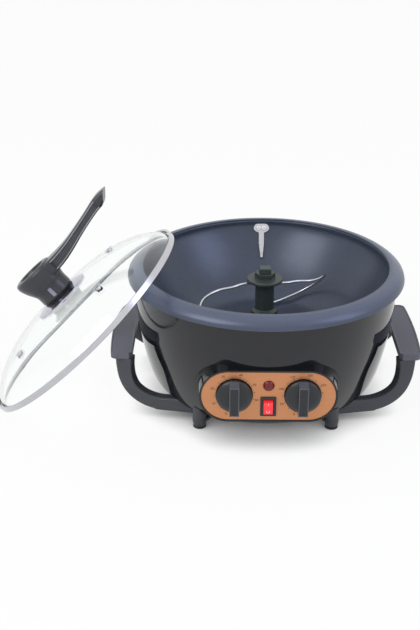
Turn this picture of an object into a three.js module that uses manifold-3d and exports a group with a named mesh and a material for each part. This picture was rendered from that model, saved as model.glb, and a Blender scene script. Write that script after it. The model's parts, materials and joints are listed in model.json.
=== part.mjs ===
// A home coffee bean roaster: a wok-shaped roasting pan on a gloss black bowl with a control panel, a
// wire stirrer on the pan's axis, two carrying handles, and a loose glass lid that leans on the left side.
// Millimetres, +Z up, the control panel faces -Y. The origin is on the stirrer's axis at the flat
// underside of the base cover, and the counter lies standHeight below it.

import * as THREE from 'three';
import { mergeVertices } from 'three/addons/utils/BufferGeometryUtils.js';
import Module from 'manifold-3d';

const wasm = await Module();
wasm.setup();

// Fits
const gap = 0.3; // between pieces that touch
const overrun = 5; // how far a cutter passes the piece that it cuts
const weldTolerance = 1e-4; // corners closer than this are one

// Facets of round pieces, by their size
const wideFacets = 24;
const middleFacets = 16;
const smallFacets = 10;
const plateFacets = 5; // on a corner of a flat piece

// Stand and feet
const standHeight = 16; // counter to the base cover's underside
const footTurn = 53.5836215; // degrees from the sideways direction to the foot, seen from the axis
const footReach = 2.7035619; // foot's centre outside the base cover's edge
const footRadius = 7.5;
const footPadThickness = 3;
const footPadInset = 0.8; // pad's radius inside the foot's
const footRise = 9; // base underside to the foot's top, outside the bowl
const footFlangeThickness = 3;
const footRim = 1; // flange's edge round the foot
const footFlangeRadius = 6.5; // round the foot screw
const lugThickness = 6; // arm's lug between foot and base
const lugRadius = 8.5;
const footScrewInset = 15; // foot screw's centre inside the base cover's edge
const footScrewRadius = 2;
const footScrewHeadRadius = 3.8;
const footScrewHeadHeight = 2;

// Outer shell
const bowlTopRadius = 138;
const bowlWall = 2.4;
const bowlFacets = 36;
// Radius and height of the bowl's outside, as shares of bowlTopRadius and of the shell's height
const bowlShares = [
  [0.816, 0], [0.832, 0.012], [0.862, 0.055], [0.898, 0.15], [0.94, 0.34],
  [0.97, 0.54], [0.989, 0.75], [1, 1],
];
const shellLedgeThickness = 2.4;
const shellLedgeWidth = 22; // ledge that the base cover is screwed to, inside the cover's edge
const shellBossRadius = 5;
const shellBossHeight = 10;
const coverThickness = 2.6;
const shellFootWall = 1.608; // shell's wall round the base cover
const ventSlotCount = 8;
const ventSlotCircle = 62;
const ventSlotLength = 26;
const ventSlotWidth = 4;

// Roasting pan
const rimHeight = 129.2; // base underside to the rim's crest
const rimCrestInset = 8.2; // rim's crest inside the bowl's top edge
const rimWidth = 15; // crest to the rolled outer edge
const rimDrop = 11; // crest down to the rolled outer edge
const panFloor = 55.4; // base underside to the pan's floor
const panWall = 2.4;
const panFacets = 36;
// Radius and depth of the pan's inside, as shares of rimCrestRadius and panDepth, from the floor to the crest
const panShares = [
  [0.34, 1], [0.52, 0.97], [0.66, 0.84], [0.785, 0.635], [0.875, 0.44], [0.945, 0.26], [0.985, 0.11],
];
// Run and fall of the rolled rim, as shares of rimWidth and rimDrop, from the crest outwards
const rimShares = [[0, 0], [0.25, 0.03], [0.6, 0.24], [0.9, 0.62], [1, 1]];
const panBossRadius = 11.5;
const panBossHeight = 16;
const panBossFillet = 4;

// Bean baffle: a steel finger riveted to the back of the pan's wall
const baffleThickness = 1;
const baffleHeadRadius = 5.1;
const baffleHeadWidth = 17.8;
const baffleNeckWidth = 5.8;
const baffleTipWidth = 2.2;
const baffleHeadDrop = 10.3; // crest down to the head's centre
const baffleDrop = 38; // crest down to the tip
const rivetSpacing = 6.3;
const rivetRadius = 1.6;
const rivetHeadRadius = 2.6;
const rivetHeadHeight = 1;
const baffleLean = 3; // how far the tip stands off the wall
// Heights of the head's sections from its centre, as shares of its radius, and of the finger's to its tip
const headShares = [1, 0.92, 0.7, 0.35, 0, -0.35, -0.7, -0.9];
const fingerShares = [0, 0.25, 0.5, 0.75, 1];

// Drive: motor, coupling, shaft and bush on the pan's axis
const shaftRadius = 4;
const bushWall = 3;
const bushFlange = 2;
const motorRadius = 25;
const motorHeight = 21;
const motorTop = 34;
const motorEarLength = 60; // across both ears
const motorEarWidth = 12;
const motorEarThickness = 2;
const spindleRadius = 3.5;
const spindleLength = 11;
const spindleSocket = 5; // depth of the spindle's seat in the gearbox
const couplingRadius = 8;
const couplingRoom = 2.5; // round the coupling, in the plates that it passes
const couplingStart = 4; // above the motor bracket's plate
const couplingFloor = 1.5; // below the pan's underside
const bracketLength = 96;
const bracketWidth = 26;
const bracketThickness = 2;
const bracketFoot = 12;

// Heating ring and shield
const heaterRadius = 62;
const heaterTube = 3.3;
const heaterOpening = 0.5; // radians left open between the ends
const heaterTail = 9; // how far the ends turn down
const heaterTailShares = [0.9, 1.08]; // where they end, across and along, of the ring's own end
const heaterBends = 24;
const heaterSteps = 32;
const shieldRadius = 90;
const shieldFlatRadius = 78;
const shieldRise = 6;
const shieldThickness = 1.2;

// Stirrer
const hubDiscHeight = 111; // base underside to the disc's top face
const hubDiscRadius = 19;
const hubDiscThickness = 3.2;
const hubHexWidth = 19;
const hubHexHeight = 6;
const hubSleeveRadius = 10;
const hubBellWall = 1.8; // bell over the pan's boss
const hubBellGap = 0.9;
const hubBellHeight = 14;
const hubCapWidth = 12.8;
const hubCapHeight = 5.6;
const hubCapTaperShare = 0.9; // cap's width at its top
const hubHexSides = 6;
const hubCapSides = 4;
const hubPegRadius = 3;
const hubPegLength = 5;
const wireRadius = 1.4;
const wireFacets = 6;
const wireSteps = 44;
const wireDrop = 3.4; // wire's axis below the disc's underside
const wireReachShare = 0.66255778; // its reach, of the rim's crest radius
// One arm of the stirrer wire: run along and across, as shares of the wire's reach, and its fall as a
// share of the way from the hub to the floor
const wireShares = [
  [0.28, 0.03, 0.01], [0.4, 0.1, 0.03], [0.56, 0.15, 0.06], [0.68, 0.25, 0.09], [0.77, 0.42, 0.13],
  [0.79, 0.58, 0.28], [0.71, 0.7, 0.54], [0.52, 0.74, 0.8], [0.28, 0.67, 0.96], [0.08, 0.55, 1],
];
const wireFloorGap = 1.6;

// Control panel on the front of the shell
const panelHeight = 45.4; // base underside to the panel's centre
const collarHalfWidth = 66.9;
const collarHalfHeight = 28;
const collarFlare = 5; // how much the collar widens towards the bowl
const collarDepth = 30;
const collarLip = 1.7; // black edge round the panel plate
const plateRecess = 0.7;
const plateThickness = 1.5;
const plateSeat = 2.4; // ledge behind the plate's edge
const arcFacets = 10;

// Knobs, timer and thermostat
const knobAcross = 33;
const knobRise = 1.4; // knob's centre above the panel's centre
const knobRadius = 17.2;
const knobSkirt = 3.6;
const knobCrown = 7;
const knobBarWidth = 9.4;
const knobBarHeight = 12.4;
const knobBarSlope = 3;
const knobFacets = 24;
const knobGap = 0.6; // knob's skirt to the plate
const controlSpindleRadius = 3;
const controlSpindleReach = 9; // into the knob
const timerWidth = 36;
const timerDepth = 24;
const thermostatRadius = 18;
const thermostatDepth = 17;
const controlSocket = 6; // how deep a spindle sits in its timer or thermostat

// Lamp and switch
const lampRise = 12; // above the panel's centre
const lampRadius = 5.3;
const lampDome = 3.2;
// Radius and height of the lamp's dome, as shares of lampRadius and lampDome
const lampShares = [[1, 0], [0.92, 0.5], [0.71, 0.83], [0.35, 0.95], [0, 1]];
const lampStemRadius = 4.2;
const lampStemLength = 16;
const switchDrop = 10.9; // below the panel's centre
const switchBezelWidth = 15.4;
const switchBezelHeight = 20.6;
const switchBezelThickness = 1.6;
const switchBodyWidth = 12.6;
const switchBodyHeight = 18.6;
const switchBodyDepth = 18;
const switchMouthWidth = 10;
const rockerWidth = 9.2;
const rockerHalfLength = 7.2;
const rockerPivotDepth = 5; // behind the bezel's face
const rockerRise = 1.6; // middle of the rocker in front of the bezel's face
const rockerTilt = 10; // degrees from level at each end of its travel
const rockerBack = 3.5;
const rockerDipShare = 0.7; // how far the rocker's middle dips, of its rise

// Terminal block and cord gland at the back
const terminalLength = 34;
const terminalWidth = 15;
const terminalHeight = 13;
const terminalInset = 15; // its middle inside the shell's ledge
const terminalPitch = 10;
const glandHeight = 22;
const glandRadius = 7;
const glandFlangeRadius = 9.5;
const glandFlangeThickness = 3.5;
const glandBore = 3.8;
const glandLength = 16;
const glandBossRadius = 11.5;
const glandBossInset = 7; // flat face of the gland's boss inside the bowl's top edge
const limiterRadius = 8;
const limiterHeight = 6;
const limiterFromAxis = 34;

// Carrying handles: a flat grip on two bent arms, each side
const gripWidth = 22.5;
const gripInset = 7.5; // arm's axis to the grip's inner edge
const gripBulge = 2.2;
const gripLength = 122;
const gripThickness = 7;
const gripHeight = 52; // base underside to the grip's top face
const gripCorner = 6.5;
const gripBevel = 1.2;
const armDepth = 12;
const armCorner = 2.4;
const armClearance = 7; // bowl's top edge to the arm's axis at the grip
const armTopWidth = 18.4;
const armRunWidth = 14.5;
const armSteps = 12;
const armInset = 7; // grip's end to the arm's axis
// The arm's axis from the grip to the run under the bowl. Each place has a share of the way out from the
// lug to the grip, one of the way along from the lug to the grip's end, and one of the way up.
const armShares = [
  [1, 1, 1], [1, 0.98, 0.775], [0.977, 0.87, 0.504], [0.909, 0.657, 0.278],
  [0.784, 0.485, 0.098], [0.602, 0.313, 0], [0.35, 0.14, 0],
];
const armRunDrop = 0.6; // arm's lowest axis below the base underside

// Lid
const lidRadius = 127.3;
const lidRise = 37; // ring's underside to the top of the glass
const lidGlass = 3.6;
const lidFacets = 36;
// Radius and height of the glass's outside, as shares of lidRadius and lidRise
const lidShares = [
  [0.24, 0.995], [0.46, 0.955], [0.62, 0.855], [0.76, 0.69], [0.86, 0.51], [0.92, 0.35], [0.953, 0.22],
];
const ringHeight = 7;
const ringSheet = 0.8;
const ringGrip = 3.2; // how far the ring's folded edges reach over the glass
const glassEdgeInset = 3.9; // ring's outside to where the glass leaves its flat edge
const lidTurn = 176.6; // degrees, the way its top faces
const lidFootLeft = 141.4; // bowl's top edge to where the ring stands on the counter
const lidFootFront = 18.6; // and how far that is in front of the axis
const leanSteps = 40; // halvings of the range in which its lean is found
const leanPlaces = 360; // places round the ring that are kept clear of the pan's rim
const ventRadius = 3;
const ventFlange = 5;
const ventAcross = 60; // both vents' offset towards the front, across the lid
const ventAlongFirst = 62;
const ventAlongSecond = -50;
const ventFlangeThickness = 0.8;

// Lid handle
const handleFlangeRadius = 32;
const handleFlangeTopRadius = 18.8;
const handleFlangeHeight = 4.8;
const handleFlangeEdge = 0.9;
const neckRadius = 18.4;
const neckHeight = 1.2;
const lidScrewRadius = 2.5;
const lidScrewHeadRadius = 5;
const lidScrewHeadHeight = 2.4;
const lidScrewBite = 9; // into the handle
const lidWasherRadius = 10;
const lidWasherThickness = 1.6;
const cupHeight = 33.3;
// The handle's cup: height, offset along, and half sizes along and across, as shares of cupHeight
const cupShares = [
  [0, 0, 0.575, 0.565], [0.27, 0, 0.575, 0.565], [0.405, -0.02, 0.62, 0.59], [0.585, -0.04, 0.7, 0.61],
  [0.826, -0.09, 0.73, 0.61], [0.95, -0.1, 0.7, 0.58], [1, -0.1, 0.61, 0.51],
];
const cupFacets = 18;
const cupWellDepth = 7;
const cupWellWall = 4;
const cupWellShares = [[0.5, 1.3], [1, 2]]; // how deep the well is where it has drawn in by so many walls
const bladeReach = 113.4;
// The blade's axis and section: distance along and rise as shares of bladeReach, then its half height and
// half width as shares of bladeReach, and the lean of its section as a share of a right angle
const bladeShares = [
  [0.017, 0.208, 0.066, 0.123, 0.02], [0.159, 0.214, 0.065, 0.123, 0.03], [0.282, 0.222, 0.062, 0.115, 0.06],
  [0.421, 0.244, 0.055, 0.106, 0.11], [0.588, 0.284, 0.047, 0.1, 0.15], [0.74, 0.32, 0.045, 0.097, 0.15],
  [0.882, 0.352, 0.049, 0.095, 0.13], [1, 0.366, 0.058, 0.07, -0.48],
];
const bladeCorner = 4;
const gripPanelDepth = 1.4;
// The sunk side panels of the blade, between these stations, with half height as a share of the blade's
const gripPanelShares = [[0.22, 0.5], [0.38, 0.6], [0.55, 0.64], [0.75, 0.64], [0.92, 0.6]];
const insetAlong = 6;
const insetWidth = 7;
const insetHeight = 10;
const insetThickness = 1.6;
const insetRise = 1;

// Finishes
const finish = (color, roughness, metalness, extra = {}) =>
  new THREE.MeshStandardMaterial({ color, roughness, metalness, ...extra });
const glossBlack = finish(0x17181c, 0.12, 0);
const satinBlack = finish(0x3b3c43, 0.5, 0);
const gripGrey = finish(0x5d5d67, 0.55, 0);
const knobBlack = finish(0x2b2c31, 0.45, 0);
const nonStick = finish(0x4e5666, 0.4, 0.3);
const copperPlate = finish(0xc98d60, 0.35, 0.6);
const steel = finish(0xc4c4c2, 0.3, 1);
const zincSteel = finish(0x9a9b9c, 0.45, 1);
const aluminium = finish(0xb4b5b8, 0.4, 1);
const brass = finish(0xb59a5a, 0.35, 1);
const rubber = finish(0x1b1b1c, 0.85, 0);
const hubGreen = finish(0x333c3a, 0.5, 0);
const paleGrey = finish(0xb6b5c4, 0.4, 0);
const whiteResin = finish(0xe3ded2, 0.6, 0);
const lampRed = finish(0x7e141c, 0.2, 0);
const rockerRed = finish(0xe0323c, 0.3, 0);
const glass = finish(0xe8f3f1, 0.05, 0, { transparent: true, opacity: 0.25 });

// Geometry helpers

const point = (x, y) => new THREE.Vector2(x, y);
const degrees = THREE.MathUtils.degToRad;

// Welds a geometry's corners, drops its flat triangles and turns its faces outwards.
function weld(geometry) {
  const bare = geometry.clone();
  bare.deleteAttribute('normal');
  bare.deleteAttribute('uv');
  const merged = mergeVertices(bare, weldTolerance);
  const corners = merged.getAttribute('position').array;
  const index = merged.index.array;
  const kept = [];
  const at = (i) => new THREE.Vector3().fromArray(corners, 3 * i);
  let volume = 0;
  for (let i = 0; i < index.length; i += 3) {
    const [a, b, c] = [index[i], index[i + 1], index[i + 2]];
    if (a !== b && b !== c && c !== a) {
      kept.push([a, b, c]);
      volume += at(a).dot(at(b).cross(at(c)));
    }
  }
  const faces = volume < 0 ? kept.map(([a, b, c]) => [a, c, b]) : kept;
  const welded = new THREE.BufferGeometry();
  welded.setAttribute('position', new THREE.Float32BufferAttribute(corners, 3));
  welded.setIndex(faces.flat());
  return welded;
}

function solid(geometry) {
  const welded = weld(geometry);
  const vertProperties = new Float32Array(welded.getAttribute('position').array);
  const triVerts = new Uint32Array(welded.index.array);
  return new wasm.Manifold(new wasm.Mesh({ numProp: 3, vertProperties, triVerts }));
}

function geometryOf(body) {
  const mesh = body.getMesh();
  const corners = [];
  for (let i = 0; i < mesh.vertProperties.length; i += mesh.numProp) {
    corners.push(mesh.vertProperties[i], mesh.vertProperties[i + 1], mesh.vertProperties[i + 2]);
  }
  const geometry = new THREE.BufferGeometry();
  geometry.setAttribute('position', new THREE.Float32BufferAttribute(corners, 3));
  geometry.setIndex(Array.from(mesh.triVerts));
  return geometry;
}

// Joins geometries to a first one, then cuts others away.
function combine(base, joined, removed) {
  let body = solid(base);
  for (const geometry of joined) {
    body = body.add(solid(geometry));
  }
  for (const geometry of removed) {
    body = body.subtract(solid(geometry));
  }
  return geometryOf(body);
}

// Turns an outline of radius and height round the Z axis.
function revolve(outline, facets) {
  const onAxis = outline[0].x === 0 && outline[outline.length - 1].x === 0;
  const closed = onAxis ? outline : [...outline, outline[0]];
  const geometry = new THREE.LatheGeometry(closed, facets);
  geometry.rotateX(Math.PI / 2);
  return geometry;
}

// A rod along Z between two heights.
function rod(radius, from, to, facets = middleFacets) {
  const geometry = new THREE.CylinderGeometry(radius, radius, to - from, facets);
  geometry.rotateX(Math.PI / 2);
  geometry.translate(0, 0, (from + to) / 2);
  return geometry;
}

// A rod along Y between two distances from the axis, facing the front for negative ones.
function rodAlongY(radius, from, to, facets = middleFacets) {
  const geometry = rod(radius, from, to, facets);
  geometry.rotateX(-Math.PI / 2);
  return geometry;
}

function tubeWall(outer, inner, from, to, facets = middleFacets) {
  return revolve([point(inner, from), point(outer, from), point(outer, to), point(inner, to)], facets);
}

function block(width, depth, height) {
  return new THREE.BoxGeometry(width, depth, height);
}

function placed(geometry, x, y, z) {
  geometry.translate(x, y, z);
  return geometry;
}

// Skins a run of rings, each with as many corners, and closes both ends.
function loft(rings) {
  const count = rings[0].length;
  const corners = rings.flat();
  const faces = [];
  for (let r = 0; r + 1 < rings.length; r += 1) {
    for (let i = 0; i < count; i += 1) {
      const [a, b] = [r * count + i, r * count + ((i + 1) % count)];
      faces.push(a, b, b + count, a, b + count, a + count);
    }
  }
  const last = (rings.length - 1) * count;
  for (let i = 1; i + 1 < count; i += 1) {
    faces.push(0, i + 1, i, last, last + i, last + i + 1);
  }
  const geometry = new THREE.BufferGeometry();
  geometry.setAttribute('position', new THREE.Float32BufferAttribute(corners.flatMap((c) => c.toArray()), 3));
  geometry.setIndex(faces);
  return geometry;
}

// Moves an open outline sideways, with mitred corners. Positive is to the right of its run.
function offsetOutline(outline, distance) {
  return outline.map((p, i) => {
    const back = i > 0 ? i - 1 : i;
    const on = i + 1 < outline.length ? i : i - 1;
    const first = outline[back + 1].clone().sub(outline[back]).normalize();
    const second = outline[on + 1].clone().sub(outline[on]).normalize();
    const [a, b] = [point(first.y, -first.x), point(second.y, -second.x)];
    return p.clone().add(a.add(b).multiplyScalar(distance / (1 + first.dot(second))));
  });
}

// Height of an outline where it first crosses a radius.
function heightAt(outline, radius) {
  for (let i = 0; i + 1 < outline.length; i += 1) {
    const [a, b] = [outline[i], outline[i + 1]];
    if ((a.x - radius) * (b.x - radius) <= 0 && a.x !== b.x) {
      return a.y + ((b.y - a.y) * (radius - a.x)) / (b.x - a.x);
    }
  }
  return outline[outline.length - 1].y;
}

// Radius of an outline where it first crosses a height.
function radiusAt(outline, height) {
  return heightAt(outline.map((p) => point(p.y, p.x)), height);
}

// Corners of a stadium, wide along X and standing in the XZ plane at a distance in front of the axis.
function stadiumRing(halfWidth, halfHeight, distance) {
  const ring = [];
  for (const side of [1, -1]) {
    for (let i = 0; i <= arcFacets; i += 1) {
      const angle = side * (Math.PI / 2) - Math.PI * (1 - i / arcFacets) + (side > 0 ? 0 : 2 * Math.PI);
      const x = side * (halfWidth - halfHeight) + halfHeight * Math.cos(angle);
      ring.push(new THREE.Vector3(x, -distance, panelHeight + halfHeight * Math.sin(angle)));
    }
  }
  return ring;
}

function stadiumBlock(halfWidth, halfHeight, front, back, flare = 0) {
  const spread = stadiumRing(halfWidth + flare, halfHeight + flare, back);
  return loft([stadiumRing(halfWidth, halfHeight, front), spread]);
}

function tube(curve, radius, facets, steps) {
  const section = new THREE.Shape();
  for (let i = 0; i < facets; i += 1) {
    const angle = (2 * Math.PI * i) / facets;
    const [x, y] = [radius * Math.cos(angle), radius * Math.sin(angle)];
    if (i === 0) {
      section.moveTo(x, y);
    } else {
      section.lineTo(x, y);
    }
  }
  section.closePath();
  return new THREE.ExtrudeGeometry(section, { steps, bevelEnabled: false, extrudePath: curve });
}

// Places and outlines that several pieces share

const panelFront = bowlTopRadius; // the collar's front edge stands under the bowl's top edge
const rimCrestRadius = bowlTopRadius - rimCrestInset;
const glandBossReach = bowlTopRadius - glandBossInset;
const armAcross = bowlTopRadius + armClearance; // axis to the arm's axis at the grip
const coverEdge = bowlShares[0][0] * bowlTopRadius - shellFootWall; // shell's inner radius round the cover
const shellLedgeRadius = coverEdge - shellLedgeWidth;
const terminalFromAxis = shellLedgeRadius - terminalInset;
const wireReach = wireReachShare * rimCrestRadius;
const footAcross = (coverEdge + footReach) * Math.cos(degrees(footTurn));
const footAlong = (coverEdge + footReach) * Math.sin(degrees(footTurn));
const rimCurve = rimShares.map(([run, fall]) =>
  point(rimCrestRadius + run * rimWidth, rimHeight - fall * rimDrop));
const panDepth = rimHeight - panFloor;
const panInside = panShares.map(([radius, depth]) =>
  point(radius * rimCrestRadius, rimHeight - depth * panDepth));
const panTop = [
  point(panBossRadius, panFloor + panBossHeight),
  point(panBossRadius, panFloor + panBossFillet),
  point(panBossRadius + panBossFillet, panFloor),
  ...panInside,
  ...rimCurve,
];
const panWallRun = [...panInside, ...rimCurve].filter((p, i) => i % 2 === 1);
const panUnder = [
  point(panBossRadius, panFloor - panWall),
  ...offsetOutline([panInside[0], ...panWallRun, rimCurve[rimCurve.length - 1]], panWall),
];
const shellTop = heightAt(panUnder.slice().reverse(), bowlTopRadius) - gap;
const bowlOutside = bowlShares.map(([radius, height]) =>
  point(radius * bowlTopRadius, height * shellTop));
const bowlInside = offsetOutline(bowlOutside.filter((p, i) => i % 2 === 1), -bowlWall);
const ledgeTop = coverThickness + gap + shellLedgeThickness;
const footScrewAcross = (coverEdge - footScrewInset) * Math.cos(degrees(footTurn));
const footScrewAlong = (coverEdge - footScrewInset) * Math.sin(degrees(footTurn));
const footScrewTip = ledgeTop + shellBossHeight - shellLedgeThickness;
const gripInner = armAcross - gripInset; // axis to the grip's inner edge
const gripEnd = gripLength / 2 - armInset; // the arms' distance from the middle of the grip
const footSides = [
  ['front_left', -1, -1], ['front_right', 1, -1], ['rear_left', -1, 1], ['rear_right', 1, 1],
];
const plateFace = panelFront - plateRecess; // axis to the panel plate's face
const plateBack = plateFace - plateThickness;
const knobHeight = panelHeight + knobRise;
const lampHeight = panelHeight + lampRise;
const switchHeight = panelHeight - switchDrop;
const bracketTop = motorTop + bracketThickness;
const bossTop = panFloor + panBossHeight;
const hexTop = hubDiscHeight + hubHexHeight;
const wireHeight = hubDiscHeight - hubDiscThickness - wireDrop;
const shaftTop = wireHeight - 2 * wireRadius - gap;
const panBowl = [...panInside, rimCurve[0]];
const rivetHeight = rimHeight - baffleHeadDrop;
const rivetPlaces = [-rivetSpacing / 2, rivetSpacing / 2];

// Pieces of the base and the shell

function footScrewHole(x, y, top) {
  const hole = rod(footScrewRadius + gap, -standHeight, top, smallFacets);
  return placed(hole, x * footScrewAcross, y * footScrewAlong, 0);
}

function makeOuterShell() {
  const inside = bowlInside.filter((p) => p.y > ledgeTop).reverse();
  const profile = [
    ...bowlOutside,
    ...inside,
    point(radiusAt(bowlInside, ledgeTop), ledgeTop),
    point(shellLedgeRadius, ledgeTop),
    point(shellLedgeRadius, coverThickness + gap),
    point(coverEdge, coverThickness + gap),
    point(coverEdge, 0),
  ];
  const bosses = footSides.map(([, x, y]) =>
    placed(rod(shellBossRadius, coverThickness + gap, ledgeTop + shellBossHeight, smallFacets),
      x * footScrewAcross, y * footScrewAlong, 0));
  const screwHoles = footSides.map(([, x, y]) => footScrewHole(x, y, footScrewTip + gap));
  const collar = stadiumBlock(
    collarHalfWidth, collarHalfHeight, panelFront, panelFront - collarDepth, collarFlare);
  const glandSeat = placed(
    rodAlongY(glandBossRadius, radiusAt(bowlInside, glandHeight), glandBossReach), 0, 0, glandHeight);
  const recess = stadiumBlock(
    collarHalfWidth - collarLip, collarHalfHeight - collarLip, panelFront + overrun, plateBack);
  const mouthWidth = collarHalfWidth - collarLip - plateSeat;
  const mouthHeight = collarHalfHeight - collarLip - plateSeat;
  const mouth = stadiumBlock(
    mouthWidth, mouthHeight, plateBack + overrun, panelFront - collarDepth - bowlWall - overrun, collarFlare);
  const glandHole = placed(
    rodAlongY(glandRadius + gap, radiusAt(bowlInside, glandHeight) - overrun, glandBossReach + overrun),
    0, 0, glandHeight);
  // The collar and the gland's boss stop at the bowl's inner face.
  const hollow = revolve([
    point(0, ledgeTop),
    point(radiusAt(bowlInside, ledgeTop), ledgeTop),
    ...bowlInside.filter((p) => p.y > ledgeTop),
    point(0, shellTop),
  ], bowlFacets);
  const body = combine(revolve(profile, bowlFacets), [], [mouth]);
  const trimmed = combine(collar, [glandSeat], [hollow]);
  return combine(body, [trimmed, ...bosses], [mouth, recess, glandHole, ...screwHoles]);
}

function makeBaseCover() {
  const radius = coverEdge - gap;
  const slots = [];
  for (let i = 0; i < ventSlotCount; i += 1) {
    const slot = block(ventSlotLength, ventSlotWidth, coverThickness + 2 * overrun);
    slot.translate(ventSlotCircle, 0, coverThickness / 2);
    slot.rotateZ((2 * Math.PI * (i + 0.5)) / ventSlotCount);
    slots.push(slot);
  }
  const holes = footSides.map(([, x, y]) => footScrewHole(x, y, coverThickness + overrun));
  return combine(rod(radius, 0, coverThickness, bowlFacets), [], [...slots, ...holes]);
}

// A rounded bar in plan between two places, cut to a range of heights.
function link(x1, y1, radius1, x2, y2, radius2, from, to) {
  const lean = Math.atan2(y2 - y1, x2 - x1);
  const spread = Math.acos((radius1 - radius2) / Math.hypot(x2 - x1, y2 - y1));
  const shape = new THREE.Shape();
  shape.absarc(x1, y1, radius1, lean + spread, lean - spread + 2 * Math.PI, false);
  shape.absarc(x2, y2, radius2, lean - spread, lean + spread, false);
  shape.closePath();
  const height = to - from;
  const bar = new THREE.ExtrudeGeometry(
    shape, { depth: height, bevelEnabled: false, curveSegments: plateFacets });
  return placed(bar, 0, 0, from);
}

function makeFoot(x, y) {
  const flangeTop = -lugThickness;
  const flange = link(
    x * footAcross, y * footAlong, footRadius + footRim,
    x * footScrewAcross, y * footScrewAlong, footFlangeRadius,
    flangeTop - footFlangeThickness, flangeTop);
  const post = rod(footRadius, footPadThickness - standHeight, footRise);
  placed(post, x * footAcross, y * footAlong, 0);
  const room = [bowlRoom(), rod(coverEdge + bowlWall, 0, footRise + overrun, bowlFacets), armLug(x, y, gap)];
  return combine(combine(post, [], room), [flange], [footScrewHole(x, y, overrun)]);
}

function makeFootPad(x, y) {
  const pad = rod(footRadius - footPadInset, -standHeight, footPadThickness - standHeight);
  return placed(pad, x * footAcross, y * footAlong, 0);
}

function makeFootScrew(x, y) {
  const seat = -lugThickness - footFlangeThickness;
  const screw = revolve([
    point(0, seat - footScrewHeadHeight),
    point(footScrewHeadRadius, seat - footScrewHeadHeight),
    point(footScrewHeadRadius, seat),
    point(footScrewRadius, seat),
    point(footScrewRadius, footScrewTip),
    point(0, footScrewTip),
  ], smallFacets);
  return placed(screw, x * footScrewAcross, y * footScrewAlong, 0);
}

// Pieces of the carrying handles

function makeGrip(side) {
  const [half, corner] = [gripLength / 2, gripCorner];
  const outer = gripInner + gripWidth;
  const shape = new THREE.Shape();
  shape.moveTo(gripInner + corner / 2, -half);
  shape.lineTo(outer - corner, -half);
  shape.quadraticCurveTo(outer, -half, outer, corner - half);
  shape.quadraticCurveTo(outer + 2 * gripBulge, 0, outer, half - corner);
  shape.quadraticCurveTo(outer, half, outer - corner, half);
  shape.lineTo(gripInner + corner / 2, half);
  shape.quadraticCurveTo(gripInner, half, gripInner, half - corner / 2);
  shape.lineTo(gripInner, corner / 2 - half);
  shape.quadraticCurveTo(gripInner, -half, gripInner + corner / 2, -half);
  const grip = new THREE.ExtrudeGeometry(shape, {
    depth: gripThickness - 2 * gripBevel,
    curveSegments: plateFacets,
    bevelSize: gripBevel,
    bevelOffset: -gripBevel,
    bevelThickness: gripBevel,
    bevelSegments: 1,
  });
  placed(grip, 0, 0, gripHeight - gripThickness + gripBevel);
  return side < 0 ? grip.rotateZ(Math.PI) : grip;
}

function armPlaces(x, y) {
  return armShares.map(([out, along, up]) => new THREE.Vector3(
    x * THREE.MathUtils.lerp(footScrewAcross, armAcross, out),
    y * THREE.MathUtils.lerp(footScrewAlong, gripEnd, along),
    THREE.MathUtils.lerp(armRunWidth / 2 - lugThickness - armRunDrop, gripHeight - gripThickness, up),
  ));
}

// The lug that an arm ends in, or with a margin the room that it takes.
function armLug(x, y, margin) {
  const start = armPlaces(x, y)[armShares.length - 2];
  return link(
    start.x, start.y, armDepth / 2 + margin,
    x * footScrewAcross, y * footScrewAlong, lugRadius + margin,
    -lugThickness, 0);
}

// The bowl's outside with its clearance
function bowlRoom() {
  return revolve([point(0, 0), ...offsetOutline(bowlOutside, gap), point(0, shellTop)], bowlFacets);
}

// A bent arm from the grip's end, round under the bowl, to a lug between the foot and the base cover.
function makeArm(x, y) {
  const top = gripHeight - gripThickness;
  const places = armPlaces(x, y);
  const axis = new THREE.CatmullRomCurve3(places, false, 'centripetal');
  const outward = new THREE.Vector3(x * (armAcross - footScrewAcross), y * (gripEnd - footScrewAlong), 0);
  const across = outward.normalize().cross(new THREE.Vector3(0, 0, 1));
  const rings = [];
  for (let i = 0; i <= armSteps; i += 1) {
    const along = i / armSteps;
    const run = i === 0 ? new THREE.Vector3(0, 0, -1) : axis.getTangent(along);
    const beside = across.clone().addScaledVector(run, -across.dot(run)).normalize();
    const wide = new THREE.Vector3().crossVectors(run, beside).normalize();
    const halfWidth = THREE.MathUtils.lerp(armTopWidth, armRunWidth, Math.min(1, 2 * along)) / 2;
    rings.push(roundedRing(axis.getPoint(along), wide, beside, halfWidth, armDepth / 2, armCorner, 1));
  }
  const aboveLug = rod(coverEdge + bowlWall, 0, top, bowlFacets);
  const belowLug = rod(coverEdge + bowlWall, -standHeight, -lugThickness, bowlFacets);
  return combine(
    loft(rings), [armLug(x, y, 0)], [aboveLug, belowLug, bowlRoom(), footScrewHole(x, y, overrun)]);
}

// Corners of a rounded rectangle round a centre, with half sizes along two directions.
function roundedRing(centre, first, second, halfFirst, halfSecond, corner, facets) {
  const ring = [];
  const turns = [[1, 1], [-1, 1], [-1, -1], [1, -1]];
  turns.forEach(([a, b], quarter) => {
    for (let i = 0; i <= facets; i += 1) {
      const angle = (Math.PI / 2) * (quarter + i / facets);
      const p = a * (halfFirst - corner) + corner * Math.cos(angle);
      const q = b * (halfSecond - corner) + corner * Math.sin(angle);
      ring.push(centre.clone().addScaledVector(first, p).addScaledVector(second, q));
    }
  });
  return ring;
}

// The roasting pan and what is riveted to it

// How far from the axis the baffle's back lies at a height, where the corners of its head clear the wall.
function baffleBack(height) {
  const wall = radiusAt(panBowl, height) * Math.cos(Math.PI / panFacets) - gap;
  return Math.sqrt(wall * wall - (baffleHeadWidth * baffleHeadWidth) / 4);
}

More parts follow.
